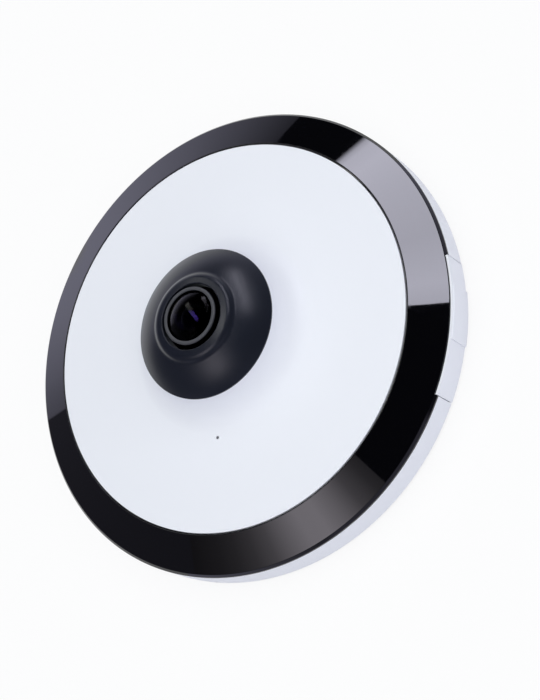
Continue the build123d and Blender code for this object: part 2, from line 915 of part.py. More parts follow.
# The holder's outline less an inset: a wide part round the filter, a neck round its drive
def holder_outline(inset, low, high):
    wide = holder_half_width - inset
    neck = holder_neck_half_width - inset
    shoulder = holder_shoulder - inset
    wide_part = block(-wide, wide, -shoulder, holder_front - inset, low, high)
    return wide_part + block(-neck, neck, inset - holder_back, overrun - shoulder, low, high)


# The hollows in the lens holder for the filter frame, its tab and its drive
def filter_rooms():
    half = frame_half_length + half_travel + free_gap
    side = frame_half_height + slide_gap
    slide = block(-half, half, -side, side, filter_floor, filter_roof)
    tab_half = filter_tab_half_width + half_travel + free_gap
    tab = block(-tab_half, tab_half, tab_low_y - free_gap, -side, filter_floor, filter_roof)
    drive_half = holder_neck_half_width - holder_skirt - holder_ledge
    drive = block(-drive_half, drive_half, -drive_back, tab_low_y, filter_floor, filter_roof)
    return slide + tab + drive


def lens_holder():
    low = sensor_board_top
    base = holder_outline(0, low, holder_top)
    base = fillet(base.edges().filter_by(Axis.Z), holder_corner)
    tube_bore = thread_radius + hair
    holder = base + rod(tube_bore + holder_tube_wall, holder_top, holder_tube_top)
    holder -= rod(tube_bore, filter_roof - hair, holder_tube_top + overrun)
    holder -= filter_rooms()
    holder -= holder_outline(holder_skirt, low - overrun, filter_floor)
    return holder + rod(rotor_axle_radius, filter_floor + hair, holder_top, (0, rotor_axis_y))


def filter_cover():
    low = filter_cover_low
    high = filter_floor
    window = (0, 0), filter_window, filter_window
    cover = holder_outline(holder_skirt + slide_gap, low, high)
    return cover - block_at(*window, low - overrun, high + overrun)


def filter_frame():
    middle = -half_travel
    height = frame_half_height
    length = frame_half_length
    tab = filter_tab_half_width
    frame = block(middle - length, middle + length, -height, height, frame_low, frame_high)
    frame += block(middle - tab, middle + tab, tab_low_y, -height, frame_low, frame_high)
    cut_low = frame_low - overrun
    cut_high = frame_high + overrun
    for side in (-1, 1):
        centre = (middle + side * filter_pitch / 2, 0)
        frame -= block_at(centre, filter_window, filter_window, cut_low, cut_high)
    slot_low = pin_near_y - pin_room
    slot_high = pin_far_y + pin_room
    return frame - block(middle - pin_room, middle + pin_room, slot_low, slot_high, cut_low, cut_high)


def filter_glass(side):
    centre = (side * filter_pitch / 2 - half_travel, 0)
    width = filter_window - 2 * hair
    low = (frame_low + frame_high - filter_glass_thickness) / 2
    return block_at(centre, width, width, low, low + filter_glass_thickness)


def filter_rotor():
    centre = (0, rotor_axis_y)
    magnet = rod(rotor_magnet_radius, frame_low, arm_high, centre)
    half = rotor_arm_width / 2
    arm = block(-half, half, 0, rotor_arm_radius, arm_low, arm_high)
    pin = rod(rotor_pin_radius, frame_low + hair, arm_high, (0, rotor_arm_radius))
    swung = Pos(0, rotor_axis_y, 0) * Rot(0, 0, rotor_swing / 2) * (arm + pin)
    return magnet + swung - bore(rotor_axle_radius + hair, frame_low, arm_high, centre)


def filter_yoke():
    inner = rotor_magnet_radius + yoke_gap
    outer = inner + yoke_thickness
    far = yoke_far_y
    yoke = block(-outer, -inner, far, rotor_axis_y, yoke_low, arm_high)
    yoke += block(inner, outer, far, rotor_axis_y, yoke_low, arm_high)
    return yoke + block(-outer, outer, far, far + yoke_base, yoke_low, arm_high)


def filter_coil():
    back = yoke_far_y
    front = back + yoke_base
    half = rotor_magnet_radius
    coil_low = yoke_low - coil_layer
    coil_high = arm_high + coil_layer
    coil = block(-half, half, back - coil_thickness, front + coil_thickness, coil_low, coil_high)
    coil = fillet(coil.edges().filter_by(Axis.X), coil_round)
    end = half + overrun
    return coil - block(-end, end, back - hair, front + hair, yoke_low - hair, arm_high + hair)


def sensor_screw_places():
    x = sensor_screw_x
    return [(side * x, y) for side in (-1, 1) for y in (sensor_screw_front, -sensor_screw_back)]


# Room in a board for the cable chamber
def chamber_cut(gap, low, high):
    start = chamber_start - chamber_wall - gap
    return block(start, body_radius, chamber_outer_low - gap, chamber_outer_half + gap, low, high)


def chassis_plate():
    low = chassis_bottom - overrun
    high = chassis_top + overrun
    plate = rod(chassis_radius, chassis_bottom, chassis_top)
    plate -= jack_cut(chassis_cut_gap, low, high)
    plate -= chamber_cut(chassis_cut_gap, low, high)
    for place in sensor_screw_places():
        plate += rod(chassis_boss_radius, chassis_bottom, sensor_board_bottom, place)
    for place in sensor_screw_places():
        plate -= bore(small_screw_radius + hair, chassis_bottom, sensor_board_bottom, place)
    for angle in boss_angles:
        plate -= bore(small_screw_radius + free_gap, low, high, polar(boss_circle, angle))
    for angle in post_angles:
        plate -= bore(small_screw_radius + free_gap, low, high, polar(post_circle, angle))
    connector_room = (connector_length + 2 * chassis_cut_gap, connector_width + 2 * chassis_cut_gap)
    plate -= block_at((0, 0), *connector_room, low, high)
    power_room = (power_width + 2 * power_clearance, power_depth + 2 * power_clearance)
    return plate - block_at(power_place, *power_room, low, high)


def main_board():
    low = board_bottom - overrun
    high = board_top + overrun
    board = rod(main_board_radius, board_bottom, board_top)
    board -= jack_cut(slide_gap, low, high)
    board -= chamber_cut(board_chamber_gap, low, high)
    for angle in boss_angles:
        board -= bore(small_screw_radius + free_gap, low, high, polar(boss_circle, angle))
    return board


def board_standoffs():
    pieces = []
    for angle in boss_angles:
        place = polar(boss_circle, angle)
        hexagon = extrude(RegularPolygon(standoff_radius, 6), standoff_height)
        body = Pos(place[0], place[1], board_top) * hexagon
        stud = rod(small_screw_radius, floor_back + boss_floor + free_gap, board_top + hair, place)
        hole_low = board_top + standoff_floor
        hole = rod(small_screw_radius + hair, hole_low, chassis_bottom + overrun, place)
        pieces.append(body + stud - hole)
    return group(pieces)


# A screw that hangs by its head from z = 0
def screw(head_radius, head_height, shank_radius, length):
    head = rod(head_radius, 0, head_height)
    head = fillet(head.edges().filter_by(GeomType.CIRCLE).sort_by(Axis.Z)[-1], screw_head_round)
    drive = rod(screw_drive_radius, head_height - screw_drive_depth, head_height + overrun)
    return head - drive + rod(shank_radius, -length, hair)


def small_screw(length):
    return screw(small_head_radius, small_head_height, small_screw_radius, length)


def chassis_screws():
    length = chassis_top - board_top - standoff_floor - slide_gap
    places = [polar(boss_circle, angle) for angle in boss_angles]
    return group([Pos(x, y, chassis_top) * small_screw(length) for x, y in places])


def sensor_screws():
    length = sensor_board_top - chassis_bottom - slide_gap
    return group([Pos(x, y, sensor_board_top) * small_screw(length) for x, y in sensor_screw_places()])


def shroud_screws():
    length = chassis_thickness + post_screw_reach
    turned_up = Rot(180, 0, 0) * small_screw(length)
    places = [polar(post_circle, angle) for angle in post_angles]
    return group([Pos(x, y, chassis_bottom) * turned_up for x, y in places])


def case_screws():
    piece = screw(case_screw_head_radius, case_screw_head_height, case_screw_radius, case_screw_length)
    turned_up = Rot(180, 0, 0) * piece
    places = [polar(pillar_circle, angle) for angle in pillar_angles]
    return group([Pos(x, y, case_screw_seat) * turned_up for x, y in places])


def sensor_board():
    half = sensor_board_half_width
    low = sensor_board_bottom
    board = block(-half, half, -sensor_board_back, sensor_board_front, low, sensor_board_top)
    board = fillet(board.edges().filter_by(Axis.Z), sensor_board_corner)
    for place in sensor_screw_places():
        board -= bore(small_screw_radius + free_gap, low, sensor_board_top, place)
    return board


def image_sensor():
    body = block_at((0, 0), sensor_width, sensor_depth, sensor_board_top, sensor_top)
    well = (sensor_width - 2 * sensor_rim, sensor_depth - 2 * sensor_rim)
    return body - block_at((0, 0), *well, sensor_top - sensor_well, sensor_top + overrun)


def sensor_glass():
    pane = (sensor_width - 2 * sensor_glass_inset, sensor_depth - 2 * sensor_glass_inset)
    return block_at((0, 0), *pane, sensor_top, sensor_top + sensor_glass_thickness)


def board_socket():
    top = board_top + socket_rise
    length = connector_length - 2 * connector_wall
    width = connector_width - 4 * connector_wall + 2 * slide_gap
    body = block_at((0, 0), connector_length, connector_width, board_top, top)
    return body - block_at((0, 0), length, width, board_top + connector_base, top + overrun)


def board_plug():
    low = board_top + socket_rise
    length = connector_length - 2 * connector_wall - 2 * slide_gap
    width = connector_width - 4 * connector_wall
    body = block_at((0, 0), connector_length, connector_width, low, sensor_board_bottom)
    tongue_low = board_top + connector_base + slide_gap
    return body + block_at((0, 0), length, width, tongue_low, low + hair)


def image_processor():
    top = board_top + processor_height
    return block_at(processor_place, processor_side, processor_side, board_top, top)


def thermal_pad():
    side = processor_side - 2 * pad_inset
    return block_at(processor_place, side, side, board_top + processor_height, chassis_bottom)


def memory_chips():
    top = board_top + memory_height
    places = [(memory_x, row) for row in memory_rows]
    return group([block_at(place, memory_width, memory_depth, board_top, top) for place in places])


def network_transformer():
    top = chassis_bottom - slide_gap
    return block_at(transformer_place, transformer_length, transformer_width, board_top, top)


def power_transformer():
    top = board_top + power_height
    core = block_at(power_place, power_width, power_depth, board_top, top)
    notch_width = power_width - 2 * power_notch_inset
    notch_low = board_top + power_notch_floor
    for side in (-1, 1):
        notch_place = (power_place[0], power_place[1] + side * power_depth / 2)
        core -= block_at(notch_place, notch_width, 2 * power_notch_depth, notch_low, top + overrun)
    return core


def power_capacitors():
    top = chassis_bottom - slide_gap
    places = [(column, capacitor_row) for column in capacitor_columns]
    return group([rod(capacitor_radius, board_top, top, place) for place in places])


def rj45_insert():
    low = jack_low + jack_shell
    high = jack_high - jack_shell
    half = jack_width / 2 - jack_shell
    body = block(jack_back + jack_shell, chamber_start - jack_shell, -half, half, low, high)
    mouth_low = low + jack_mouth_sill
    mouth_high = mouth_low + jack_mouth_height
    mouth_half = jack_mouth_width / 2
    start = chamber_start - jack_mouth_depth
    end = chamber_start + overrun
    mouth = block(start, end, -mouth_half, mouth_half, mouth_low, mouth_high)
    latch_half = jack_latch_width / 2
    latch_low = mouth_low - jack_latch_depth
    latch = block(start + jack_latch_stop, end, -latch_half, latch_half, latch_low, mouth_high)
    return body - mouth - latch


def rj45_shield():
    half = jack_width / 2
    shell = block(jack_back, chamber_start, -half, half, jack_low, jack_high)
    inner = half - jack_shell
    low = jack_low + jack_shell
    high = jack_high - jack_shell
    shell -= block(jack_back + jack_shell, chamber_start - jack_shell, -inner, inner, low, high)
    mouth = jack_mouth_width / 2 + free_gap
    mouth_low = low + jack_frame_low
    mouth_high = high - jack_frame_high
    front = (chamber_start - overrun, chamber_start + overrun)
    return shell - block(*front, -mouth, mouth, mouth_low, mouth_high)


def rj45_contacts():
    top = jack_low + jack_shell + jack_mouth_sill + jack_mouth_height
    low = top - contact_drop - contact_width
    start = chamber_start - jack_mouth_depth
    half = contact_width / 2
    pins = []
    for index in range(contact_count):
        y = (index - (contact_count - 1) / 2) * contact_pitch
        pin = block(start, start + contact_length, y - half, y + half, low, low + contact_width)
        pins.append(pin + block(start, start + contact_width, y - half, y + half, low, top))
    return group(pins)


def microsd_socket():
    near = chamber_start - chamber_wall - free_gap
    far = near - socket_length
    y_low = card_middle_y - socket_width / 2
    y_high = card_middle_y + socket_width / 2
    body = block(far, near, y_low, y_high, board_bottom - socket_height, board_bottom)
    return body - card_room(far + socket_back_wall, near + overrun)


def microsd_card():
    near = chamber_start + card_edge
    far = near - card_length
    y_low = card_middle_y - card_width / 2
    y_high = card_middle_y + card_width / 2
    low = card_middle_z - card_thickness / 2
    high = card_middle_z + card_thickness / 2
    card = block(far, near, y_low, y_high, low, high)
    notch_end = far + card_notch_length
    notch_y = y_high - card_notch_depth
    cut = (low - overrun, high + overrun)
    return card - block(far - overrun, notch_end, notch_y, y_high + overrun, *cut)


def reset_button():
    place = (button_x, button_y)
    top = board_bottom - switch_height - button_travel - hair
    stem = rod(button_radius, floor_back + button_recess, top, place)
    return stem + rod(button_flange_radius, floor_top + hair, top, place)


def reset_switch():
    low = board_bottom - switch_height
    return block_at((button_x, button_y), switch_side, switch_side, low, board_bottom)


def led_board():
    first = led_board_gap_angle
    last = 360 - led_board_gap_angle
    board = sector(led_board_inner, led_board_outer, first, last, led_board_low, led_board_high)
    for angle in stake_angles:
        place = polar(led_circle, angle)
        board -= bore(stake_pin_radius + slide_gap, led_board_low, led_board_high, place)
    return board


def infrared_leds():
    base_top = led_board_high + led_base_height
    body = block_at((led_circle, 0), led_base, led_base, led_board_high, base_top)
    ball = Pos(led_circle, 0, base_top) * Sphere(led_dome_radius)
    dome = ball & rod(led_base, base_top - hair, base_top + led_dome_radius, (led_circle, 0))
    lamp = body + dome
    angles = [led_pitch_angle * (index + 1) for index in range(led_count)]
    return group([Rot(0, 0, angle) * lamp for angle in angles])


def light_sensor():
    place = polar(led_circle, light_sensor_angle)
    top = led_board_high + light_sensor_height
    return block_at(place, light_sensor_length, light_sensor_width, led_board_high, top)


def microphone():
    return rod(capsule_radius, capsule_top - capsule_height, capsule_top, microphone_place)


def microphone_boot():
    ledge_top = capsule_top - capsule_height - hair
    ledge_bore = capsule_radius - capsule_ledge
    boot = rod(boot_radius, chassis_top, boot_top, microphone_place)
    boot -= rod(capsule_radius + hair, ledge_top, capsule_top, microphone_place)
    boot -= rod(ledge_bore, chassis_top - overrun, ledge_top + hair, microphone_place)
    return boot - rod(microphone_hole_radius, ledge_top, boot_top + overrun, microphone_place)


builders = {
    "mounting_plate": mounting_plate,
    "base_housing": base_housing,
    "cable_chamber": cable_chamber,
    "side_cover": side_cover,
    "trim_ring": trim_ring,
    "front_panel": front_panel,
    "lens_shroud": lens_shroud,
    "lens_barrel": lens_barrel,
    "lens_front_ring": lens_front_ring,
    "front_lens": front_lens,
    "second_lens": second_lens,
    "third_lens": third_lens,
    "aperture_stop": aperture_stop,
    "rear_lens_pair": rear_lens_pair,
    "lens_lock_ring": lens_lock_ring,
    "lens_holder": lens_holder,
    "filter_cover": filter_cover,
    "filter_frame": filter_frame,
    "ir_cut_filter": lambda: filter_glass(1),
    "clear_filter": lambda: filter_glass(-1),
    "filter_rotor": filter_rotor,
    "filter_yoke": filter_yoke,
    "filter_coil": filter_coil,
    "chassis_plate": chassis_plate,
    "chassis_screws": chassis_screws,
    "board_standoffs": board_standoffs,
    "main_board": main_board,
    "sensor_board": sensor_board,
    "sensor_screws": sensor_screws,
    "image_sensor": image_sensor,
    "sensor_glass": sensor_glass,
    "board_socket": board_socket,
    "board_plug": board_plug,
    "image_processor": image_processor,
    "thermal_pad": thermal_pad,
    "memory_chips": memory_chips,
    "network_transformer": network_transformer,
    "power_transformer": power_transformer,
    "power_capacitors": power_capacitors,
    "rj45_shield": rj45_shield,
    "rj45_insert": rj45_insert,
    "rj45_contacts": rj45_contacts,
    "microsd_socket": microsd_socket,
    "microsd_card": microsd_card,
    "reset_button": reset_button,
    "reset_switch": reset_switch,
    "led_board": led_board,
    "infrared_leds": infrared_leds,
    "light_sensor": light_sensor,
    "microphone": microphone,
    "microphone_boot": microphone_boot,
    "case_screws": case_screws,
    "shroud_screws": shroud_screws,
}

os.makedirs("parts", exist_ok=True)
for node, build in builders.items():
    export_step(build(), f"parts/{node}.step")
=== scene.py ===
import bpy
import json
from math import atan2, cos, radians, sin, sqrt, tan
from mathutils import Matrix, Vector


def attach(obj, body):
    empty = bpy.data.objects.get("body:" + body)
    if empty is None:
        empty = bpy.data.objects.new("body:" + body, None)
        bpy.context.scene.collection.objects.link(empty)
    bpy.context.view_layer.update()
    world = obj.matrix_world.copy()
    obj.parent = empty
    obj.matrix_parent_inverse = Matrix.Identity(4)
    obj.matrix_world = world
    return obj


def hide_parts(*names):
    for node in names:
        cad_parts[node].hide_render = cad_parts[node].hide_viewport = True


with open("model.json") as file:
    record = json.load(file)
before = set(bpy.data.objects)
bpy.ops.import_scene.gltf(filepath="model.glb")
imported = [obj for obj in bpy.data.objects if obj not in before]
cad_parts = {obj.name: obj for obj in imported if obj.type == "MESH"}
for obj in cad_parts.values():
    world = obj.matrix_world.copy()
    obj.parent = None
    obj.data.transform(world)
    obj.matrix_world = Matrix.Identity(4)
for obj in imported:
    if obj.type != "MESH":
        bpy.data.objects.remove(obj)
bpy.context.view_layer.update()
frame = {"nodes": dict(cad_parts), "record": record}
mm = 0.001
weldReach = 2e-6  # metres: vertices nearer to each other than this are welded
print("frame loaded:", len(frame["nodes"]), "nodes")


# small helpers

def linear(hexColour):
    # sRGB hex to the linear values that Blender's sockets hold
    channels = [int(hexColour[i:i + 2], 16) / 255 for i in (1, 3, 5)]
    levels = [c / 12.92 if c <= 0.04045 else ((c + 0.055) / 1.055) ** 2.4 for c in channels]
    return (*levels, 1.0)


def toned(colour, share):
    # a linear colour made darker or lighter
    return (*[min(1.0, channel * share) for channel in colour[:3]], 1.0)


def addNode(tree, kind, inputs=None, **settings):
    # one node, its settings, and its inputs as values or as links from other sockets
    node = tree.nodes.new(kind)
    for name, value in settings.items():
        setattr(node, name, value)
    for name, value in (inputs or {}).items():
        if isinstance(value, bpy.types.NodeSocket):
            tree.links.new(value, node.inputs[name])
        else:
            node.inputs[name].default_value = value
    return node


def newMaterial(name):
    # an empty material, and the place on the piece that its patterns are drawn from
    material = bpy.data.materials.new(name)
    material.use_nodes = True
    tree = material.node_tree
    tree.nodes.clear()
    place = addNode(tree, "ShaderNodeTexCoord").outputs["Object"]
    return material, tree, place


def deselectAll():
    bpy.ops.object.select_all(action="DESELECT")


def onlySelect(piece):
    deselectAll()
    piece.select_set(True)
    bpy.context.view_layer.objects.active = piece


def applyModifier(piece, kind, **settings):
    onlySelect(piece)
    modifier = piece.modifiers.new(kind.lower(), kind)
    for name, value in settings.items():
        setattr(modifier, name, value)
    bpy.ops.object.modifier_apply(modifier=modifier.name)


def combine(piece, other, operation):
    # UNION, INTERSECT or DIFFERENCE with a second piece, which is used up
    applyModifier(piece, "BOOLEAN", operation=operation, solver="EXACT", object=other)
    bpy.data.objects.remove(other)


def onCircle(radius, angle):
    return radius * cos(radians(angle)), radius * sin(radians(angle))


def roundCorner(before, corner, after, radius, steps):
    # the arc that rounds one corner of a profile
    b, c, a = Vector(before), Vector(corner), Vector(after)
    toBefore = (b - c).normalized()
    toAfter = (a - c).normalized()
    half = toBefore.angle(toAfter) / 2
    reach = radius / tan(half)
    centre = c + (toBefore + toAfter).normalized() * (radius / sin(half))
    start = c + toBefore * reach - centre
    end = c + toAfter * reach - centre
    turn = start.angle_signed(end)
    return [tuple(centre + Matrix.Rotation(-turn * i / steps, 2) @ start) for i in range(steps + 1)]


def roundProfile(points):
    # a closed profile from its corners; a corner with four values also has a rounding's radius and steps
    result = []
    for i, (across, height, *rounding) in enumerate(points):
        if rounding:
            before, after = points[i - 1][:2], points[(i + 1) % len(points)][:2]
            result += roundCorner(before, (across, height), after, *rounding)
        else:
            result.append((across, height))
    return result


def crownedRun(start, end, crown, steps):
    # points on the shallow arc from start to end whose middle bulges outwards by the crown
    start, end = Vector(start), Vector(end)
    half = (end - start) / 2
    radius = (half.length_squared + crown ** 2) / (2 * crown)
    centre = start + half + Vector((half.y, -half.x)).normalized() * (crown - radius)
    first = atan2(start.y - centre.y, start.x - centre.x)
    last = atan2(end.y - centre.y, end.x - centre.x)
    angles = [first + (last - first) * i / steps for i in range(steps + 1)]
    return [(centre.x + radius * cos(angle), centre.y + radius * sin(angle)) for angle in angles]


def splitLong(points, longest, closed=True, tight=0.06):
    # extra points on runs of over six times tight, the first and last that close to the ends, so that
    # smooth shading stays even
    result = []
    for i in range(len(points) if closed else len(points) - 1):
        a, b = Vector(points[i]), Vector(points[(i + 1) % len(points)])
        run = (b - a).length
        result.append(tuple(a))
        if run > 6 * tight:
            parts = max(1, round(run / longest))
            shares = [tight / run] + [k / parts for k in range(1, parts)] + [1 - tight / run]
            result += [tuple(a.lerp(b, share)) for share in shares]
    if not closed:
        result.append(points[-1])
    return result


def spinProfile(name, profile, steps, closed=True, first=0.0, last=360.0):
    # one vertex is extruded along the profile, and the profile is spun round the lens axis
    deselectAll()
    bpy.ops.mesh.primitive_plane_add(size=mm, location=(0, 0, 0))
    piece = bpy.context.object
    piece.name = name
    piece.data.name = name
    places = [Vector((*onCircle(radius * mm, first), height * mm)) for radius, height in profile]
    bpy.ops.object.mode_set(mode="EDIT")
    bpy.ops.mesh.select_mode(type="VERT")
    bpy.ops.mesh.select_all(action="SELECT")
    bpy.ops.mesh.merge(type="CENTER")
    bpy.ops.transform.translate(value=places[0])
    for here, there in zip(places, places[1:]):
        bpy.ops.mesh.extrude_vertices_move(TRANSFORM_OT_translate={"value": there - here})
    if closed:
        # the profile's two ends are picked by their places and joined
        bpy.ops.mesh.select_all(action="DESELECT")
        bpy.ops.object.mode_set(mode="OBJECT")
        for end in (places[0], places[-1]):
            nearest = min(piece.data.vertices, key=lambda vertex: (vertex.co - end).length)
            nearest.select = True
        bpy.ops.object.mode_set(mode="EDIT")
        bpy.ops.mesh.edge_face_add()
    bpy.ops.mesh.select_all(action="SELECT")
    bpy.ops.mesh.spin(steps=steps, angle=radians(first - last), center=(0, 0, 0), axis=(0, 0, 1))
    bpy.ops.mesh.select_all(action="SELECT")
    bpy.ops.mesh.remove_doubles(threshold=weldReach)
    if last - first < 360:
        # a part turn leaves two open ends, which each get a face
        bpy.ops.mesh.select_all(action="DESELECT")
        bpy.ops.mesh.select_non_manifold(extend=False)
        bpy.ops.mesh.edge_face_add()
        bpy.ops.mesh.select_all(action="SELECT")
    bpy.ops.mesh.normals_make_consistent(inside=False)
    bpy.ops.object.mode_set(mode="OBJECT")
    return piece


def cylinderAt(name, x, y, low, high, radius, sides=64):
    deselectAll()
    middle = (x * mm, y * mm, (low + high) / 2 * mm)
    depth = (high - low) * mm
    bpy.ops.mesh.primitive_cylinder_add(vertices=sides, radius=radius * mm, depth=depth, location=middle)
    piece = bpy.context.object
    piece.name = name
    bpy.ops.object.transform_apply(location=True, rotation=True, scale=True)
    return piece


def boredCylinder(name, x, y, low, high, radius, bore, depth):
    # a post with a blind hole in its lower end: the end face is inset and pushed up
    piece = cylinderAt(name, x, y, low, high, radius)
    bpy.ops.object.mode_set(mode="EDIT")
    bpy.ops.mesh.select_mode(type="FACE")
    bpy.ops.mesh.select_all(action="DESELECT")
    bpy.ops.object.mode_set(mode="OBJECT")
    for polygon in piece.data.polygons:
        polygon.select = polygon.normal.z < -0.9  # only the end that looks down
    bpy.ops.object.mode_set(mode="EDIT")
    bpy.ops.mesh.inset(thickness=(radius - bore) * mm)
    bpy.ops.mesh.extrude_region_move(TRANSFORM_OT_translate={"value": (0, 0, depth * mm)})
    bpy.ops.mesh.select_all(action="SELECT")
    bpy.ops.mesh.normals_make_consistent(inside=False)
    bpy.ops.object.mode_set(mode="OBJECT")
    return piece


def blockAt(name, low, high):
    # a box between two opposite corners
    deselectAll()
    low, high = Vector(low) * mm, Vector(high) * mm
    bpy.ops.mesh.primitive_cube_add(size=1, location=(low + high) / 2, scale=high - low)
    piece = bpy.context.object
    piece.name = name
    bpy.ops.object.transform_apply(location=True, rotation=True, scale=True)
    return piece


def dropSlivers(piece):
    # cuts leave faces with many corners and some without area, which would be stray faces once exported
    applyModifier(piece, "TRIANGULATE", min_vertices=5)
    bpy.ops.object.mode_set(mode="EDIT")
    bpy.ops.mesh.select_all(action="SELECT")
    bpy.ops.mesh.remove_doubles(threshold=weldReach)
    bpy.ops.mesh.dissolve_degenerate(threshold=weldReach)
    bpy.ops.mesh.delete_loose()
    bpy.ops.object.mode_set(mode="OBJECT")


def joinPieces(piece, others):
    onlySelect(piece)
    for other in others:
        other.select_set(True)
    bpy.ops.object.join()


def mergedCopy(node, name):
    # a CAD node's copy with its loose triangles welded, so that it can be shaded smooth; it keeps
    # nothing of the node's parent and own properties, because it isn't a node
    piece = frame["nodes"][node].copy()
    piece.data = piece.data.copy()
    piece.name = name
    piece.parent = None
    for key in list(piece.keys()):
        del piece[key]
    bpy.context.scene.collection.objects.link(piece)
    piece.hide_viewport = False
    piece.hide_render = False
    onlySelect(piece)
    bpy.ops.object.mode_set(mode="EDIT")
    bpy.ops.mesh.select_all(action="SELECT")
    bpy.ops.mesh.remove_doubles(threshold=weldReach)
    bpy.ops.object.mode_set(mode="OBJECT")
    return piece


def finishPiece(piece, node, smoothAngle=25, material=None):
    # smooth shading, one material, by default the one of the CAD node's slot, and the body of the CAD node
    # that the piece replaces, which is hidden
    onlySelect(piece)
    bpy.ops.object.shade_smooth_by_angle(angle=radians(smoothAngle))
    piece.data.materials.clear()
    piece.data.materials.append(material or materials[slotOf[node]])
    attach(piece, bodyOf[node])
    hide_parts(node)


# camera

# fitted to the outlines of the ring, the panel and the lens in the photograph; its place and the start
# of its view are in metres, its lens and sensor in mm
cameraView = {
    "place": (0.2513, -0.1409, 0.3927),
    "forward": (-0.50837, 0.28880, -0.81127),
    "up": (0.11632, 0.95648, 0.26760),
    "lens": 92.57, "sensorWidth": 36, "clipStart": 0.01,
}


def placeCamera():
    forward = Vector(cameraView["forward"]).normalized()
    right = forward.cross(Vector(cameraView["up"])).normalized()
    up = right.cross(forward)
    bpy.ops.object.camera_add(location=cameraView["place"])
    camera = bpy.context.object
    turn = Matrix((right, up, -forward)).transposed().to_4x4()
    camera.matrix_world = Matrix.Translation(cameraView["place"]) @ turn
    camera.data.lens = cameraView["lens"]
    camera.data.sensor_width = cameraView["sensorWidth"]
    camera.data.clip_start = cameraView["clipStart"]
    bpy.context.scene.camera = camera


placeCamera()
bpy.context.scene.view_settings.view_transform = "Standard"
print("camera placed")


# room, lamps and floor

def setLevels(ramp, levels, tint=(1, 1, 1)):
    elements = ramp.color_ramp.elements
    elements[0].position = levels[0][0]
    elements[1].position = levels[-1][0]
    for position, _ in levels[1:-1]:
        elements.new(position)
    for element, (_, level) in zip(elements, levels):
        element.color = (level * tint[0], level * tint[1], level * tint[2], 1)


def levelsAlong(tree, place, levels, tint=(1, 1, 1)):
    # a ramp along a plane's own X axis, from the first level's place to the last one's
    first, last = levels[0][0], levels[-1][0]
    along = addNode(tree, "ShaderNodeSeparateXYZ", {"Vector": place}).outputs["X"]
    share = addNode(tree, "ShaderNodeMapRange", {"Value": along, "From Min": first, "From Max": last})
    ramp = addNode(tree, "ShaderNodeValToRGB", {"Fac": share.outputs["Result"]})
    setLevels(ramp, [((x - first) / (last - first), level) for x, level in levels], tint)
    return ramp.outputs["Color"]


def hideFrom(thing, *rays):
    for ray in rays:
        setattr(thing, "visible_" + ray, False)


def standPlane(name, levels, rows, turn, place):
    # a plane as long as its levels reach and as wide as its rows, turned and moved to its place
    deselectAll()
    bpy.ops.mesh.primitive_plane_add(size=1, location=(0, 0, 0))
    plane = bpy.context.object
    plane.name = name
    first, last = levels[0][0], levels[-1][0]
    low, high = rows
    middle = Matrix.Translation(((first + last) / 2, (low + high) / 2, 0))
    plane.data.transform(middle @ Matrix.Diagonal((last - first, high - low, 1, 1)))
    plane.matrix_world = Matrix.Translation(place) @ turn
    return plane


roomSettings = {
    # sine of the height above the horizon, and how bright the room is there
    "levels": [(0.0, 0.90), (0.06, 0.80), (0.13, 0.69), (0.22, 0.50), (0.33, 0.20), (0.45, 0.025),
               (1.0, 0.015)],
    "tint": (1.0, 0.99, 1.28),
}


def lightRoom():
    # the room is pale at the horizon and dark overhead, which is what a glossy ring shows
    world = bpy.data.worlds.new("room")
    bpy.context.scene.world = world
    world.use_nodes = True
    tree = world.node_tree
    tree.nodes.clear()
    direction = addNode(tree, "ShaderNodeTexCoord").outputs["Generated"]
    height = addNode(tree, "ShaderNodeSeparateXYZ", {"Vector": direction}).outputs["Z"]
    ramp = addNode(tree, "ShaderNodeValToRGB", {"Fac": height})
    setLevels(ramp, roomSettings["levels"], roomSettings["tint"])
    room = addNode(tree, "ShaderNodeBackground", {"Color": ramp.outputs["Color"], "Strength": 1.0})
    white = addNode(tree, "ShaderNodeBackground", {"Color": (1, 1, 1, 1), "Strength": 1.0})
    seen = addNode(tree, "ShaderNodeLightPath").outputs["Is Camera Ray"]
    mixed = addNode(tree, "ShaderNodeMixShader", {
        0: seen, 1: room.outputs["Background"], 2: white.outputs["Background"],
    })
    addNode(tree, "ShaderNodeOutputWorld", {"Surface": mixed.outputs["Shader"]})


# soft boxes: each faces the object from its middle direction and lies along its long axis; levels are
# places on that axis with their brightness, short is its reach across, and lengths are in metres
cards = {
    "keyCard": {
        "middle": (0.12381, 0.64326, 0.75557), "along": (-0.56447, 0.67189, -0.47952), "distance": 1.5,
        "short": (-0.184, 0.004), "radiance": 8.5, "colour": "#EFEEFF",
        "levels": [(-0.668, 0.96), (-0.52, 1.06), (-0.2, 0.92), (0.2, 0.97), (0.45, 1.02), (0.57, 0.93),
                   (0.61, 0.72), (0.65, 0.0)],
    },
    "fillCard": {
        "middle": (-0.14125, -0.47047, 0.87104), "along": (0.88655, 0.33142, 0.32278), "distance": 1.2,
        "short": (-0.26, 0.32), "radiance": 2.95, "colour": "#FBF4FF",
        "levels": [(-0.74, 0.03), (-0.557, 0.06), (-0.45, 0.1), (-0.348, 0.18), (-0.247, 0.34),
                   (-0.148, 0.66), (-0.048, 0.97), (0.05, 1.0), (0.151, 0.69), (0.253, 0.3), (0.356, 0.13),
                   (0.41, 0.09)],
    },
    # a narrow card overhead, for the streak in the glass and the light on the collar; its middle and
    # long axis lie in the upright plane of one azimuth and come from its angle over the horizon
    "overheadCard": {
        "azimuth": 131.0, "angle": 63.0, "distance": 1.4,
        "short": (-0.12, 0.12), "radiance": 4.8, "colour": "#FFFFFF",
        "levels": [(-0.87, 0.0), (-0.75, 0.5), (-0.25, 0.6), (0.1, 0.8), (0.35, 1.0), (0.62, 1.0),
                   (0.82, 0.0)],
    },
}


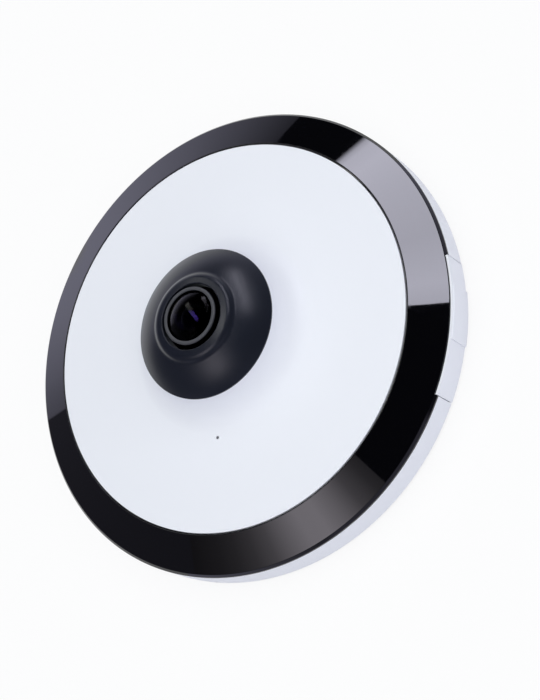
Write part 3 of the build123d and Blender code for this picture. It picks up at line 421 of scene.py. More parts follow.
def placeCard(name, card):
    # a flat card that glows more or less along its length and is seen in glossy surfaces
    if "azimuth" in card:
        level, height = onCircle(1, card["angle"])
        east, north = onCircle(1, card["azimuth"])
        back = Vector((east * level, north * level, height))
        along = Vector((-east * height, -north * height, level))
    else:
        back, along = Vector(card["middle"]).normalized(), Vector(card["along"])
        along = (along - back * along.dot(back)).normalized()
    turn = Matrix((along, back.cross(along), back)).transposed().to_4x4()
    plane = standPlane(name, card["levels"], card["short"], turn, back * card["distance"])
    material, tree, place = newMaterial(name + "Glow")
    colour = levelsAlong(tree, place, card["levels"], linear(card["colour"]))
    glow = addNode(tree, "ShaderNodeEmission", {"Color": colour, "Strength": card["radiance"]})
    addNode(tree, "ShaderNodeOutputMaterial", {"Surface": glow.outputs["Emission"]})
    plane.data.materials.append(material)
    hideFrom(plane, "camera", "diffuse", "transmission")


# screens that the ring shows: where each stands, its lower and upper edge, what it sends out, and how
# closed it is at places along its width
screens = {
    "lowerLeftScreen": {
        "azimuth": 199.7, "distance": 1.3, "height": (0.04, 1.5), "radiance": 0.13,
        "closed": [(-1.16, 0.0), (-1.06, 0.04), (-0.907, 0.12), (-0.835, 0.18), (-0.76, 0.3), (-0.67, 0.4),
                   (-0.662, 1.0), (0.662, 1.0)],
    },
    "upperScreen": {
        "azimuth": 105.7, "distance": 1.3, "height": (0.45, 1.4), "radiance": 0.02,
        "closed": [(-0.2, 1.0), (0.115, 1.0), (0.165, 0.0)],
    },
    "chamferScreen": {
        "azimuth": -50.0, "distance": 1.3, "height": (0.5, 1.1), "radiance": 0.45,
        "closed": [(-0.9, 0.0), (-0.7, 1.0), (0.6, 1.0), (0.75, 0.0)],
    },
}
screenColour = "#E4E2FF"


def placeScreen(name, screen):
    # an upright screen seen in glossy surfaces only: it darkens or greys what the ring shows
    east, north = onCircle(1, screen["azimuth"])
    back = Vector((east, north, 0))
    turn = Matrix((Vector((-north, east, 0)), Vector((0, 0, 1)), back)).transposed().to_4x4()
    plane = standPlane(name, screen["closed"], screen["height"], turn, back * screen["distance"])
    material, tree, place = newMaterial(name + "Cloth")
    closed = levelsAlong(tree, place, screen["closed"])
    glow = addNode(tree, "ShaderNodeEmission", {
        "Color": linear(screenColour), "Strength": screen["radiance"],
    })
    clear = addNode(tree, "ShaderNodeBsdfTransparent")
    mixed = addNode(tree, "ShaderNodeMixShader", {
        0: closed, 1: clear.outputs["BSDF"], 2: glow.outputs["Emission"],
    })
    addNode(tree, "ShaderNodeOutputMaterial", {"Surface": mixed.outputs["Shader"]})
    plane.data.materials.append(material)
    hideFrom(plane, "camera", "diffuse", "shadow", "transmission")


fillLamp = {"place": (0.35, -0.15, 2.2), "size": 7.0, "radiance": 1.065, "colour": (0.965, 1.0, 1.005)}


def placeFillLamp():
    # a wide soft lamp near the camera; it isn't mirrored, so the ring keeps its dark parts
    place = Vector(fillLamp["place"])
    deselectAll()
    bpy.ops.object.light_add(type="AREA", location=place)
    lamp = bpy.context.object
    lamp.name = "wideFill"
    lamp.matrix_world = Matrix.Translation(place) @ place.to_track_quat("Z", "Y").to_matrix().to_4x4()
    lamp.data.shape = "SQUARE"
    lamp.data.size = fillLamp["size"]
    # Cycles spreads a quarter of an area lamp's watts over its area
    lamp.data.energy = fillLamp["radiance"] * fillLamp["size"] ** 2 * 4
    lamp.data.color = fillLamp["colour"]
    hideFrom(lamp, "camera", "glossy", "transmission")


# glow is how much of its own light the paper shows, and covered is where that starts, out from the axis
floorSettings = {"size": 12.0, "colour": "#ECECEE", "roughness": 0.9, "glow": 0.86, "covered": (0.058, 0.064)}


def makeFloor():
    deselectAll()
    bpy.ops.mesh.primitive_plane_add(size=floorSettings["size"], location=(0, 0, 0))
    floor = bpy.context.object
    floor.name = "floor"
    # matt studio paper: near white, with the object's soft shadow on it
    material, tree, place = newMaterial("paleStudioPaper")
    paper = addNode(tree, "ShaderNodeBsdfPrincipled", {
        "Base Color": linear(floorSettings["colour"]), "Roughness": floorSettings["roughness"],
    })
    glow = addNode(tree, "ShaderNodeEmission", {"Color": (1, 1, 1, 1), "Strength": 1.0})
    ray = addNode(tree, "ShaderNodeLightPath").outputs
    seen = addNode(tree, "ShaderNodeMath", {
        0: ray["Is Camera Ray"], 1: ray["Is Glossy Ray"],
    }, operation="ADD")
    seen = addNode(tree, "ShaderNodeMath", {
        0: seen.outputs["Value"], 1: ray["Is Transmission Ray"],
    }, operation="ADD", use_clamp=True)
    # under the object the paper doesn't glow, so that it stays dark seen through the openings
    fromAxis = addNode(tree, "ShaderNodeVectorMath", {0: place}, operation="LENGTH").outputs["Value"]
    first, last = floorSettings["covered"]
    glowing = addNode(tree, "ShaderNodeMapRange", {
        "Value": fromAxis, "From Min": first, "From Max": last,
        "To Min": 0.0, "To Max": floorSettings["glow"],
    })
    share = addNode(tree, "ShaderNodeMath", {
        0: seen.outputs["Value"], 1: glowing.outputs["Result"],
    }, operation="MULTIPLY")
    mixed = addNode(tree, "ShaderNodeMixShader", {
        0: share.outputs["Value"], 1: paper.outputs["BSDF"], 2: glow.outputs["Emission"],
    })
    addNode(tree, "ShaderNodeOutputMaterial", {"Surface": mixed.outputs["Shader"]})
    floor.data.materials.append(material)


lightRoom()
for name, card in cards.items():
    placeCard(name, card)
for name, screen in screens.items():
    placeScreen(name, screen)
placeFillLamp()
makeFloor()
print("room lit")


# materials

# sizes of patterns in mm; the grains and lines that the materials below give are drawn coarser than the
# real ones, which are about 0.05 mm, because those wouldn't show
patterns = {"toneDrift": 45.45, "mouldingRipple": 18.18, "dust": 1.111, "coatingDrift": 2.857, "tracks": 2.4}


def perMetre(size):
    # the scale of a pattern that repeats after so many mm
    return 1 / (size * mm)


def mouldedPlastic(name, colour, roughness, grain, depth, spread, ior=1.5, softEdge=0.0):
    # a moulded skin: its spark-eroded grain breaks the shine up, and tone and gloss drift a little over it
    material, tree, place = newMaterial(name)
    drift = addNode(tree, "ShaderNodeTexNoise", {
        "Vector": place, "Scale": perMetre(patterns["toneDrift"]), "Detail": 3.0,
    })
    tone = addNode(tree, "ShaderNodeMix", {"Factor": drift.outputs["Fac"]}, data_type="RGBA")
    tone.inputs["A"].default_value = toned(linear(colour), 1 - spread)
    tone.inputs["B"].default_value = toned(linear(colour), 1 + spread)
    fine = addNode(tree, "ShaderNodeTexNoise", {"Vector": place, "Scale": perMetre(grain), "Detail": 2.0})
    gloss = addNode(tree, "ShaderNodeMapRange", {
        "Value": fine.outputs["Fac"], "To Min": roughness - 0.04, "To Max": roughness + 0.04,
    })
    bump = addNode(tree, "ShaderNodeBump", {
        "Height": fine.outputs["Fac"], "Strength": depth, "Distance": grain * mm / 10,
    })
    shader = addNode(tree, "ShaderNodeBsdfPrincipled", {
        "Base Color": tone.outputs["Result"], "Roughness": gloss.outputs["Result"],
        "Normal": bump.outputs["Normal"], "IOR": ior,
        "Sheen Weight": softEdge, "Sheen Roughness": 0.3, "Sheen Tint": (0.88, 0.92, 1.0, 1),
    })
    addNode(tree, "ShaderNodeOutputMaterial", {"Surface": shader.outputs["BSDF"]})
    return material


def polishedBlack():
    # polished infrared-clear polycarbonate: near-black, mirror smooth, with a faint moulding ripple
    # that bends the reflections and a little dust that softens them
    material, tree, place = newMaterial("polishedInfraredPolycarbonate")
    ripple = addNode(tree, "ShaderNodeTexNoise", {
        "Vector": place, "Scale": perMetre(patterns["mouldingRipple"]), "Detail": 1.0,
    })
    bump = addNode(tree, "ShaderNodeBump", {
        "Height": ripple.outputs["Fac"], "Strength": 0.015, "Distance": 0.4 * mm,
    })
    dust = addNode(tree, "ShaderNodeTexNoise", {
        "Vector": place, "Scale": perMetre(patterns["dust"]), "Detail": 2.0,
    })
    gloss = addNode(tree, "ShaderNodeMapRange", {
        "Value": dust.outputs["Fac"], "From Min": 0.55, "From Max": 0.8, "To Min": 0.025, "To Max": 0.06,
    })
    shader = addNode(tree, "ShaderNodeBsdfPrincipled", {
        "Base Color": linear("#030305"), "Roughness": gloss.outputs["Result"],
        "Normal": bump.outputs["Normal"], "IOR": 1.58,
    })
    addNode(tree, "ShaderNodeOutputMaterial", {"Surface": shader.outputs["BSDF"]})
    return material


def brushedMetal(name, colour, roughness, lineSpacing):
    # a rolled, drawn or milled metal: fine lines along X smear its reflections and streak its tone
    material, tree, place = newMaterial(name)
    stretched = addNode(tree, "ShaderNodeMapping", {"Vector": place, "Scale": (0.08, 1, 1)})
    lines = addNode(tree, "ShaderNodeTexNoise", {
        "Vector": stretched.outputs["Vector"], "Scale": perMetre(lineSpacing), "Detail": 3.0,
    })
    gloss = addNode(tree, "ShaderNodeMapRange", {
        "Value": lines.outputs["Fac"], "To Min": roughness - 0.08, "To Max": roughness + 0.08,
    })
    tone = addNode(tree, "ShaderNodeMix", {"Factor": lines.outputs["Fac"]}, data_type="RGBA")
    tone.inputs["A"].default_value = toned(linear(colour), 0.9)
    tone.inputs["B"].default_value = linear(colour)
    bump = addNode(tree, "ShaderNodeBump", {
        "Height": lines.outputs["Fac"], "Strength": 0.15, "Distance": 0.03 * mm,
    })
    shader = addNode(tree, "ShaderNodeBsdfPrincipled", {
        "Base Color": tone.outputs["Result"], "Roughness": gloss.outputs["Result"],
        "Normal": bump.outputs["Normal"], "Metallic": 1.0,
    })
    addNode(tree, "ShaderNodeOutputMaterial", {"Surface": shader.outputs["BSDF"]})
    return material


def clearGlass(name, colour, roughness, level, tint, speck):
    # something to look through: a dim tinted reflection, and faint specks that dull it here and there
    material, tree, place = newMaterial(name)
    haze = addNode(tree, "ShaderNodeTexNoise", {"Vector": place, "Scale": perMetre(speck), "Detail": 2.0})
    gloss = addNode(tree, "ShaderNodeMapRange", {
        "Value": haze.outputs["Fac"], "From Min": 0.5, "From Max": 0.9,
        "To Min": roughness, "To Max": roughness + 0.02,
    })
    shader = addNode(tree, "ShaderNodeBsdfPrincipled", {
        "Base Color": linear(colour), "Roughness": gloss.outputs["Result"], "IOR": 1.52,
        "Transmission Weight": 1.0, "Specular IOR Level": level, "Specular Tint": linear(tint),
    })
    addNode(tree, "ShaderNodeOutputMaterial", {"Surface": shader.outputs["BSDF"]})
    return material


def circuitBoard():
    # solder mask over copper: dark green, raised and a little lighter over the tracks below it, which
    # are bricks whose sizes are shares of the pattern's own
    material, tree, place = newMaterial("greenSolderMask")
    tracks = addNode(tree, "ShaderNodeTexBrick", {
        "Vector": place, "Scale": perMetre(patterns["tracks"]),
        "Color1": (1, 1, 1, 1), "Color2": (0.6, 0.6, 0.6, 1), "Mortar": (0, 0, 0, 1),
        "Mortar Size": 0.06, "Brick Width": 1.7, "Row Height": 0.35,
    })
    tone = addNode(tree, "ShaderNodeMix", {"Factor": tracks.outputs["Color"]}, data_type="RGBA")
    tone.inputs["A"].default_value = linear("#0B3B24")
    tone.inputs["B"].default_value = linear("#145436")
    bump = addNode(tree, "ShaderNodeBump", {
        "Height": tracks.outputs["Color"], "Strength": 0.3, "Distance": 0.04 * mm,
    })
    shader = addNode(tree, "ShaderNodeBsdfPrincipled", {
        "Base Color": tone.outputs["Result"], "Roughness": 0.32, "Normal": bump.outputs["Normal"],
    })
    addNode(tree, "ShaderNodeOutputMaterial", {"Surface": shader.outputs["BSDF"]})
    return material


# after its name, a plastic has its colour, roughness, grain in mm, grain depth and tone spread, a metal
# its colour, roughness and line spacing in mm, and a glass its colour, roughness, the level and tint of
# its reflection and its speck size in mm
materials = {
    # moulded wall and panel: soft and even, with no glare
    "white_plastic": mouldedPlastic("matteWhitePolycarbonate", "#E3E4EA", 0.5, 0.25, 0.25, 0.006),
    # the plate against the wall: duller and greyer than the head
    "plate_plastic": mouldedPlastic("matteGreyWhitePolycarbonate", "#CFD0D4", 0.5, 0.3, 0.3, 0.01),
    # a dark mirror in which the cards and screens show with clear ends
    "black_gloss": polishedBlack(),
    # satin with a bluish edge and broad soft highlights; its IOR is lower than polycarbonate's, because
    # the crown of the shroud is dim
    "charcoal_plastic": mouldedPlastic(
        "satinCharcoalPolycarbonate", "#10141F", 0.31, 0.3, 0.3, 0.05, ior=1.43, softEdge=0.2),
    # anodised barrel: a dark metal with a low, streaked shine
    "lens_metal": brushedMetal("blackAnodisedAluminium", "#1A1A1C", 0.45, 0.2),
    # the ring round the glass: satin grey that catches one thin highlight
    "lens_ring_plastic": mouldedPlastic("satinGreyAcetal", "#3C3D42", 0.4, 0.2, 0.2, 0.03),
    # coated lenses: greyish to look through, with almost no reflection
    "lens_glass": clearGlass("coatedOpticalGlass", "#6E727C", 0.0, 0.5, "#1E1C18", 3.0),
    # inner mouldings: dull black that swallows light
    "inner_plastic": mouldedPlastic("matteBlackPolycarbonate", "#141415", 0.6, 0.3, 0.3, 0.05),
    "circuit_board": circuitBoard(),
    # chip bodies: dull black with a sandy grain
    "chip_black": mouldedPlastic("blackEpoxyMoulding", "#1E1E20", 0.55, 0.15, 0.4, 0.05),
    # the sensor's package: an even dull grey
    "ceramic_package": mouldedPlastic("greyCeramic", "#6C6D72", 0.5, 0.2, 0.2, 0.03),
    # sheet metal: pale grey with a soft, lined shine
    "board_metal": brushedMetal("milledAluminiumSheet", "#C4C6C9", 0.4, 0.25),
    # screws and cans: a brighter, sharper grey
    "steel": brushedMetal("zincPlatedSteel", "#AFB0B4", 0.3, 0.15),
    # contacts: warm yellow and the sharpest of the metals
    "gold_contact": brushedMetal("goldPlatedBronze", "#D9B35F", 0.25, 0.1),
    # the coil: reddish brown, with the lines of its turns
    "copper_wire": brushedMetal("enamelledCopperWire", "#B4652F", 0.35, 0.12),
    # soft moulding: powdery grey without a highlight
    "grey_rubber": mouldedPlastic("greySiliconeRubber", "#55575B", 0.75, 0.2, 0.4, 0.04),
    # the filters: clear, with a cyan reflection
    "filter_glass": clearGlass("filterGlass", "#CFE9F2", 0.0, 0.4, "#9FD8FF", 2.0),
    # lamp bodies: water clear, a little softened by the mould
    "led_epoxy": clearGlass("waterClearEpoxy", "#D9D9E0", 0.05, 0.5, "#FFFFFF", 1.0),
    # the memory card: black with a low shine
    "card_plastic": mouldedPlastic("blackCardPlastic", "#1B1B1D", 0.45, 0.2, 0.3, 0.04),
    # the reset button: light grey with a low shine
    "button_plastic": mouldedPlastic("greyAcetalButton", "#8A8B90", 0.45, 0.2, 0.3, 0.03),
}
slotOf = {part["node"]: part["material_slot"] for part in frame["record"]["subparts"]}
bodies = frame["record"]["behaviour"]["bodies"]
bodyOf = {member: body for body, members in bodies.items() for member in members}
for node, carried in frame["nodes"].items():
    carried.data.materials.clear()
    carried.data.materials.append(materials[slotOf[node]])
print("materials made:", len(materials))


# sizes that neighbouring pieces share

# in mm and degrees: the panel's foot sits on the ring's lip at panelSeat and the shroud on the panel's
# flare at shroudSeat, and the side cover fills the gap in the wall
shared = {
    "bodyRadius": 64.0, "wallLow": 1.0, "wallTop": 8.5, "panelSeat": 12.32, "shroudSeat": 23.75,
    "gapFirst": -20.2, "gapLast": 13.2, "longestRun": 2.5,
}


# white front panel

# here and in the other pieces, a rounding is its radius and the steps of its arc, steps is how many a
# spin takes round the axis, and longestRun is how long a straight piece of a profile may be
panel = {
    "radius": 53.3, "edgeZ": 14.12, "edgeRound": (0.12, 6), "slope": 3.0, "thickness": 1.6,
    "footWidth": 1.4, "shroudRadius": 20.35, "brimRound": (0.12, 4), "hole": 18.75,
    "flareRadius": 7.6, "flareSteps": 28, "underSteps": 20, "steps": 256,
    "microphone": 28.5, "drill": {"low": 8, "high": 24, "radius": 0.45, "sides": 32},
    "sleeve": {"low": 10.98, "high": 15.02, "radius": 4.3, "bore": 3.3, "depth": 2.5},
    "pillarCircle": 47.0, "pillarAngles": (45, 135, 225, 315),
    "pillar": {"low": 7.05, "high": 13.3, "radius": 2.5, "bore": 1.15, "depth": 5.95},
}


def makePanel():
    # a shallow cone that turns up into a flare, with its foot on the ring's lip
    rise = tan(radians(panel["slope"]))
    cornerZ = panel["edgeZ"] + (panel["radius"] - panel["shroudRadius"]) * rise
    underEdgeZ = panel["edgeZ"] - panel["thickness"]
    footInner = panel["radius"] - panel["footWidth"]
    profile = roundProfile([
        (panel["hole"], shared["shroudSeat"]),
        (panel["shroudRadius"], shared["shroudSeat"], *panel["brimRound"]),
        (panel["shroudRadius"], cornerZ, panel["flareRadius"], panel["flareSteps"]),
        (panel["radius"], panel["edgeZ"], *panel["edgeRound"]),
        (panel["radius"], shared["panelSeat"]),
        (footInner, shared["panelSeat"]),
        (footInner, underEdgeZ + panel["footWidth"] * rise),
        (panel["hole"], underEdgeZ + (panel["radius"] - panel["hole"]) * rise,
         panel["flareRadius"] + panel["thickness"], panel["underSteps"]),
    ])
    piece = spinProfile("frontPanel", splitLong(profile, shared["longestRun"]), panel["steps"])
    sleeve = boredCylinder("microphoneSleeve", 0, -panel["microphone"], **panel["sleeve"])
    for target in (piece, sleeve):
        drill = cylinderAt("microphoneDrill", 0, -panel["microphone"], **panel["drill"])
        combine(target, drill, "DIFFERENCE")
        dropSlivers(target)
    pillars = []
    for angle in panel["pillarAngles"]:
        x, y = onCircle(panel["pillarCircle"], angle)
        pillars.append(boredCylinder("panelPillar", x, y, **panel["pillar"]))
    joinPieces(piece, [sleeve] + pillars)
    finishPiece(piece, "front_panel")


makePanel()
print("front panel made")


# glossy black ring

ring = {
    "outer": 63.35, "outerZ": 9.758, "outerRound": (0.3, 6), "inner": 53.62, "innerRound": (0.2, 6),
    "slope": 23.8, "thickness": 2.0, "sideZ": 9.05, "sideRound": (0.15, 4), "skirtRound": (0.05, 3),
    "spigot": 61.8, "lipInner": 51.4, "lipLow": 11.12, "longestRun": 2.4, "steps": 288,
    "notchMargin": 1.0, "notchSeam": 0.1, "notchSteps": 64,
}


def makeRing():
    # a sloping band with a lip for the panel's foot and a spigot in the wall, notched for the side cover
    rise = tan(radians(ring["slope"]))
    drop = ring["thickness"] / cos(radians(ring["slope"]))
    innerZ = ring["outerZ"] + (ring["outer"] - ring["inner"]) * rise
    underLip = ring["outer"] - (ring["lipLow"] + drop - ring["outerZ"]) / rise
    spigotZ = ring["outerZ"] + (ring["outer"] - ring["spigot"]) * rise - drop
    profile = roundProfile([
        (ring["lipInner"], ring["lipLow"]),
        (underLip, ring["lipLow"]),
        (ring["spigot"], spigotZ),
        (ring["spigot"], shared["wallTop"]),
        (shared["bodyRadius"], shared["wallTop"], *ring["skirtRound"]),
        (shared["bodyRadius"], ring["sideZ"], *ring["sideRound"]),
        (ring["outer"], ring["outerZ"], *ring["outerRound"]),
        (ring["inner"], innerZ, *ring["innerRound"]),
        (ring["inner"], shared["panelSeat"]),
        (ring["lipInner"], shared["panelSeat"]),
    ])
    piece = spinProfile("glossyRing", splitLong(profile, ring["longestRun"]), ring["steps"])
    inside, outside = ring["outer"], shared["bodyRadius"] + ring["notchMargin"]
    low, high = shared["wallTop"] - ring["notchMargin"], ring["outerZ"] + ring["notchSeam"]
    corners = [(inside, low), (outside, low), (outside, high), (inside, high)]
    notch = spinProfile("ringNotch", corners, ring["notchSteps"],
                        first=shared["gapFirst"], last=shared["gapLast"])
    combine(piece, notch, "DIFFERENCE")
    dropSlivers(piece)
    finishPiece(piece, "trim_ring")


makeRing()
print("ring made")


# charcoal shroud

shroud = {
    "baseRadius": 20.3, "baseZ": 24.15, "crown": 0.42, "crownSteps": 24, "leastStep": 0.02,
    "collar": 11.25, "collarRise": 0.5, "collarHeight": 1.15, "collarRound": (2.6, 12), "collarFoot": 1.1,
    "footRound": (2.4, 10), "top": 30.75, "opening": 8.86, "lipRound": (0.3, 6),
    "wall": 1.6, "neckInset": 1.0, "neckRise": 0.3,
    "skirtOuter": 18.6, "skirtInner": 17.1, "skirtLow": 21.75, "skirtStep": 0.4,
    "longestRun": 1.5, "steps": 224, "smoothAngle": 28,
    "postCircle": 15.7, "postAngles": (90, 190, 350),
    "post": {"low": 9.9, "high": 23.4, "radius": 1.9, "sides": 40},
}


def makeShroud():
    # a crowned flank up to a collar round the lens, hollow below, with a skirt inside the panel's flare
    collar = (shroud["collar"], shroud["top"] - shroud["collarRise"])
    foot = (shroud["collar"] + shroud["collarFoot"], collar[1] - shroud["collarHeight"])
    base = (shroud["baseRadius"], shroud["baseZ"])
    lip = (shroud["opening"], shroud["top"])
    neckZ = foot[1] - shroud["wall"]
    neck = (shroud["opening"], neckZ + shroud["neckRise"])
    flank = crownedRun(base, foot, shroud["crown"], shroud["crownSteps"])
    footArc = roundCorner(flank[-2], foot, collar, *shroud["footRound"])
    # the flank ends where the rounding of the foot starts
    profile = [point for point in flank if point[0] > footArc[0][0] + shroud["leastStep"]]
    profile += footArc
    profile += roundCorner(foot, collar, lip, *shroud["collarRound"])
    profile += roundCorner(collar, lip, neck, *shroud["lipRound"])
    profile += [
        neck, (foot[0] - shroud["neckInset"], neckZ),
        (shroud["skirtInner"], shared["shroudSeat"] - shroud["skirtStep"]),
        (shroud["skirtInner"], shroud["skirtLow"]), (shroud["skirtOuter"], shroud["skirtLow"]),
        (shroud["skirtOuter"], shared["shroudSeat"]), (shroud["baseRadius"], shared["shroudSeat"]),
    ]
    piece = spinProfile("lensShroud", splitLong(profile, shroud["longestRun"]), shroud["steps"])
    posts = []
    for angle in shroud["postAngles"]:
        x, y = onCircle(shroud["postCircle"], angle)
        posts.append(cylinderAt("shroudPost", x, y, **shroud["post"]))
    joinPieces(piece, posts)
    finishPiece(piece, "lens_shroud", shroud["smoothAngle"])


makeShroud()
print("shroud made")


# white side wall

wall = {
    "inner": 62.0, "lowRound": (0.3, 5), "edgeRound": (0.08, 3), "steps": 232,
    "floorLimit": {"low": -1, "high": 12, "radius": 61.97, "sides": 256},
}


def makeHousing():
    # the side wall is made new, and the rest of the housing is a smooth copy, cut back to inside the wall
    inner, outer = wall["inner"], shared["bodyRadius"]
    profile = roundProfile([
        (inner, shared["wallLow"]), (outer, shared["wallLow"], *wall["lowRound"]),
        (outer, shared["wallTop"], *wall["edgeRound"]), (inner, shared["wallTop"]),
    ])
    side = spinProfile("housingWall", splitLong(profile, shared["longestRun"]), wall["steps"],
                       first=shared["gapLast"], last=shared["gapFirst"] + 360)
    finishPiece(side, "base_housing")
    floorPiece = mergedCopy("base_housing", "housingFloor")
    combine(floorPiece, cylinderAt("floorLimit", 0, 0, **wall["floorLimit"]), "INTERSECT")
    finishPiece(floorPiece, "base_housing")


makeHousing()
print("side wall made")


# removable side cover

cover = {
    "inner": 62.05, "lipInner": 63.45, "wallHigh": 8.35, "lipHigh": 9.4, "seam": 0.18, "steps": 44,
    "gripFirst": -7.0, "gripLast": 6.0, "gripInner": 63.7, "gripOuter": 64.35, "gripHigh": 9.1,
    "gripRound": (0.3, 5), "gripSteps": 18,
    "armStart": 55.05, "armEnd": 62.65, "armSides": (-20.45, 11.2), "armThickness": 1.3,
    "armLow": 2.7, "armHigh": 6.7, "armLimit": {"low": 0, "high": 10, "sides": 180},
    "edgeBevel": 0.1, "bevelSegments": 3, "sharpAngle": 40, "smoothAngle": 30,
}


def makeCover():
    # a piece of the wall with a thin lip over the ring's side, a raised grip and two arms behind it
    outer, low = shared["bodyRadius"], shared["wallLow"]
    profile = [
        (cover["inner"], low), (outer, low), (outer, cover["lipHigh"]), (cover["lipInner"], cover["lipHigh"]),
        (cover["lipInner"], cover["wallHigh"]), (cover["inner"], cover["wallHigh"]),
    ]
    piece = spinProfile("sideCover", splitLong(profile, shared["longestRun"]), cover["steps"],
                        first=shared["gapFirst"] + cover["seam"], last=shared["gapLast"] - cover["seam"])
    gripProfile = roundProfile([
        (cover["gripInner"], low), (cover["gripOuter"], low),
        (cover["gripOuter"], cover["gripHigh"], *cover["gripRound"]), (cover["gripInner"], cover["gripHigh"]),
    ])
    grip = spinProfile("coverGrip", gripProfile, cover["gripSteps"],
                       first=cover["gripFirst"], last=cover["gripLast"])
    combine(piece, grip, "UNION")
    for side in cover["armSides"]:
        arm = blockAt("coverArm", (cover["armStart"], side, cover["armLow"]),
                      (cover["armEnd"], side + cover["armThickness"], cover["armHigh"]))
        limit = cylinderAt("armLimit", 0, 0, radius=cover["armEnd"], **cover["armLimit"])
        combine(arm, limit, "INTERSECT")
        combine(piece, arm, "UNION")
    applyModifier(piece, "BEVEL", width=cover["edgeBevel"] * mm, segments=cover["bevelSegments"],
                  limit_method="ANGLE", angle_limit=radians(cover["sharpAngle"]), use_clamp_overlap=True)
    dropSlivers(piece)
    finishPiece(piece, "side_cover", cover["smoothAngle"])


makeCover()
print("side cover made")


# front glass

frontGlass = {
    "rim": 6.9, "apex": 32.96, "domeRadius": 12.0, "domeSteps": 24, "seat": 28.66,
    "backRim": 4.968, "backRadius": 5.6, "backSteps": 20, "pole": 0.0001,
    "longestRun": 1.2, "tight": 0.04, "steps": 160, "smoothAngle": 30,
    "skin": 0.05, "coatingEdge": (3.7, 4.3), "coatingTurn": (0.6, 1.1), "coatingWave": 0.5,
    "violet": "#5740B1", "olive": "#2A291C", "glass": "#3E4046",
}


def coatedGlass():
    # a fisheye's coated front glass: black from most sides; near its middle the coating sends back a
    # violet light, olive further up; the steep outer part and the inner face send back next to nothing
    material, tree, place = newMaterial("violetCoatedGlass")
    # only the outer face is this far from the centre of its dome
    centre = (0, 0, (frontGlass["apex"] - frontGlass["domeRadius"]) * mm)
    fromCentre = addNode(tree, "ShaderNodeVectorMath", {0: place, 1: centre}, operation="DISTANCE")
    outside = addNode(tree, "ShaderNodeMath", {
        0: fromCentre.outputs["Value"], 1: (frontGlass["domeRadius"] - frontGlass["skin"]) * mm,
    }, operation="GREATER_THAN")
    flat = addNode(tree, "ShaderNodeVectorMath", {0: place, 1: (1, 1, 0)}, operation="MULTIPLY")
    fromAxis = addNode(tree, "ShaderNodeVectorMath", {0: flat.outputs["Vector"]}, operation="LENGTH")
    first, last = frontGlass["coatingEdge"]
    inMiddle = addNode(tree, "ShaderNodeMapRange", {
        "Value": fromAxis.outputs["Value"], "From Min": first * mm, "From Max": last * mm,
        "To Min": 1, "To Max": 0,
    })
    coated = addNode(tree, "ShaderNodeMath", {
        0: outside.outputs["Value"], 1: inMiddle.outputs["Result"],
    }, operation="MULTIPLY")
    drift = addNode(tree, "ShaderNodeTexNoise", {
        "Vector": place, "Scale": perMetre(patterns["coatingDrift"]), "Detail": 2.0, "Distortion": 0.4,
    })
    height = addNode(tree, "ShaderNodeSeparateXYZ", {"Vector": place}).outputs["Y"]
    wavy = addNode(tree, "ShaderNodeMath", {
        0: drift.outputs["Fac"], 1: frontGlass["coatingWave"] * mm, 2: height,
    }, operation="MULTIPLY_ADD")
    low, high = frontGlass["coatingTurn"]
    turn = addNode(tree, "ShaderNodeMapRange", {
        "Value": wavy.outputs["Value"], "From Min": low * mm, "From Max": high * mm,
    })
    colour = addNode(tree, "ShaderNodeMix", {"Factor": turn.outputs["Result"]}, data_type="RGBA")
    colour.inputs["A"].default_value = linear(frontGlass["violet"])
    colour.inputs["B"].default_value = linear(frontGlass["olive"])
    tint = addNode(tree, "ShaderNodeMix", {"Factor": coated.outputs["Value"]}, data_type="RGBA")
    tint.inputs["A"].default_value = linear("#000000")
    tree.links.new(colour.outputs["Result"], tint.inputs["B"])
    shader = addNode(tree, "ShaderNodeBsdfPrincipled", {
        "Base Color": linear(frontGlass["glass"]), "Roughness": 0.045, "IOR": 1.52,
        "Transmission Weight": 1.0, "Specular Tint": tint.outputs["Result"],
    })
    addNode(tree, "ShaderNodeOutputMaterial", {"Surface": shader.outputs["BSDF"]})
    return material


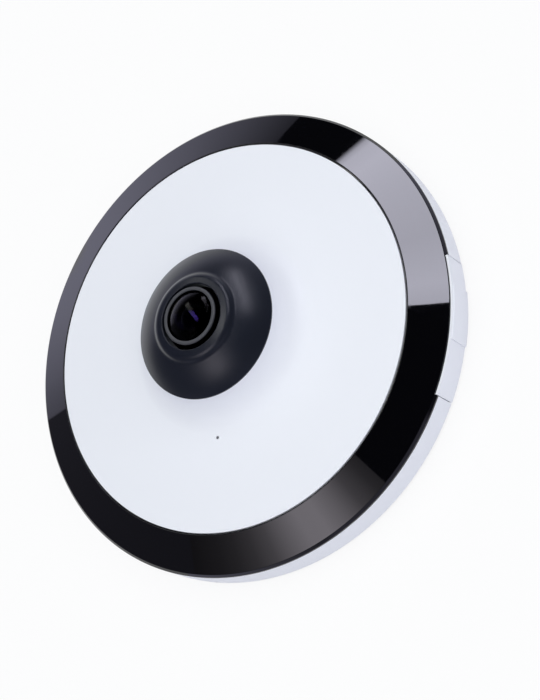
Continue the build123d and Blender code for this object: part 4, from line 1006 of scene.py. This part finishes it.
def capPoints(rim, apex, radius, steps):
    # points on a round cap, from its pole, a hair off the axis so that the spin can weld it, to its rim
    across = [max(rim * i / steps, frontGlass["pole"]) for i in range(steps + 1)]
    return [(r, apex - radius + sqrt(radius ** 2 - r ** 2)) for r in across]


def makeFrontGlass():
    # a domed glass with a deep round hollow behind
    rim, seat = frontGlass["rim"], frontGlass["seat"]
    backRim, backRadius = frontGlass["backRim"], frontGlass["backRadius"]
    backApex = seat + backRadius - sqrt(backRadius ** 2 - backRim ** 2)
    dome = capPoints(rim, frontGlass["apex"], frontGlass["domeRadius"], frontGlass["domeSteps"])
    hollow = capPoints(backRim, backApex, backRadius, frontGlass["backSteps"])
    profile = splitLong(dome + [(rim, seat)] + hollow[::-1], frontGlass["longestRun"],
                        closed=False, tight=frontGlass["tight"])
    piece = spinProfile("frontGlass", profile, frontGlass["steps"], closed=False)
    finishPiece(piece, "front_lens", frontGlass["smoothAngle"], coatedGlass())


makeFrontGlass()
print("front glass made")


# ring round the glass

frontRing = {
    "window": 6.84, "windowRound": (0.1, 3), "outer": 7.76, "outerRound": (0.2, 5), "top": 31.51,
    "thickness": 0.5, "land": 0.3, "relief": 0.15, "steps": 160,
}


def makeFrontRing():
    # the thin ring that holds the glass, with its outer edge rounded
    low = frontRing["top"] - frontRing["thickness"]
    profile = roundProfile([
        (frontRing["window"], low + frontRing["relief"]),
        (frontRing["window"] + frontRing["land"], low),
        (frontRing["outer"], low),
        (frontRing["outer"], frontRing["top"], *frontRing["outerRound"]),
        (frontRing["window"], frontRing["top"], *frontRing["windowRound"]),
    ])
    piece = spinProfile("lensFrontRing", profile, frontRing["steps"])
    finishPiece(piece, "lens_front_ring")


makeFrontRing()
print("ring round the glass made")


# smooth copies of the other pieces that show

smoothCopies = {
    "mounting_plate": "mountingPlate", "cable_chamber": "cableChamber", "lens_barrel": "lensBarrel",
    "second_lens": "secondLens", "third_lens": "thirdLens", "rear_lens_pair": "rearLensPair",
}
for node, name in smoothCopies.items():
    finishPiece(mergedCopy(node, name), node)
print("smooth copies made:", len(smoothCopies))
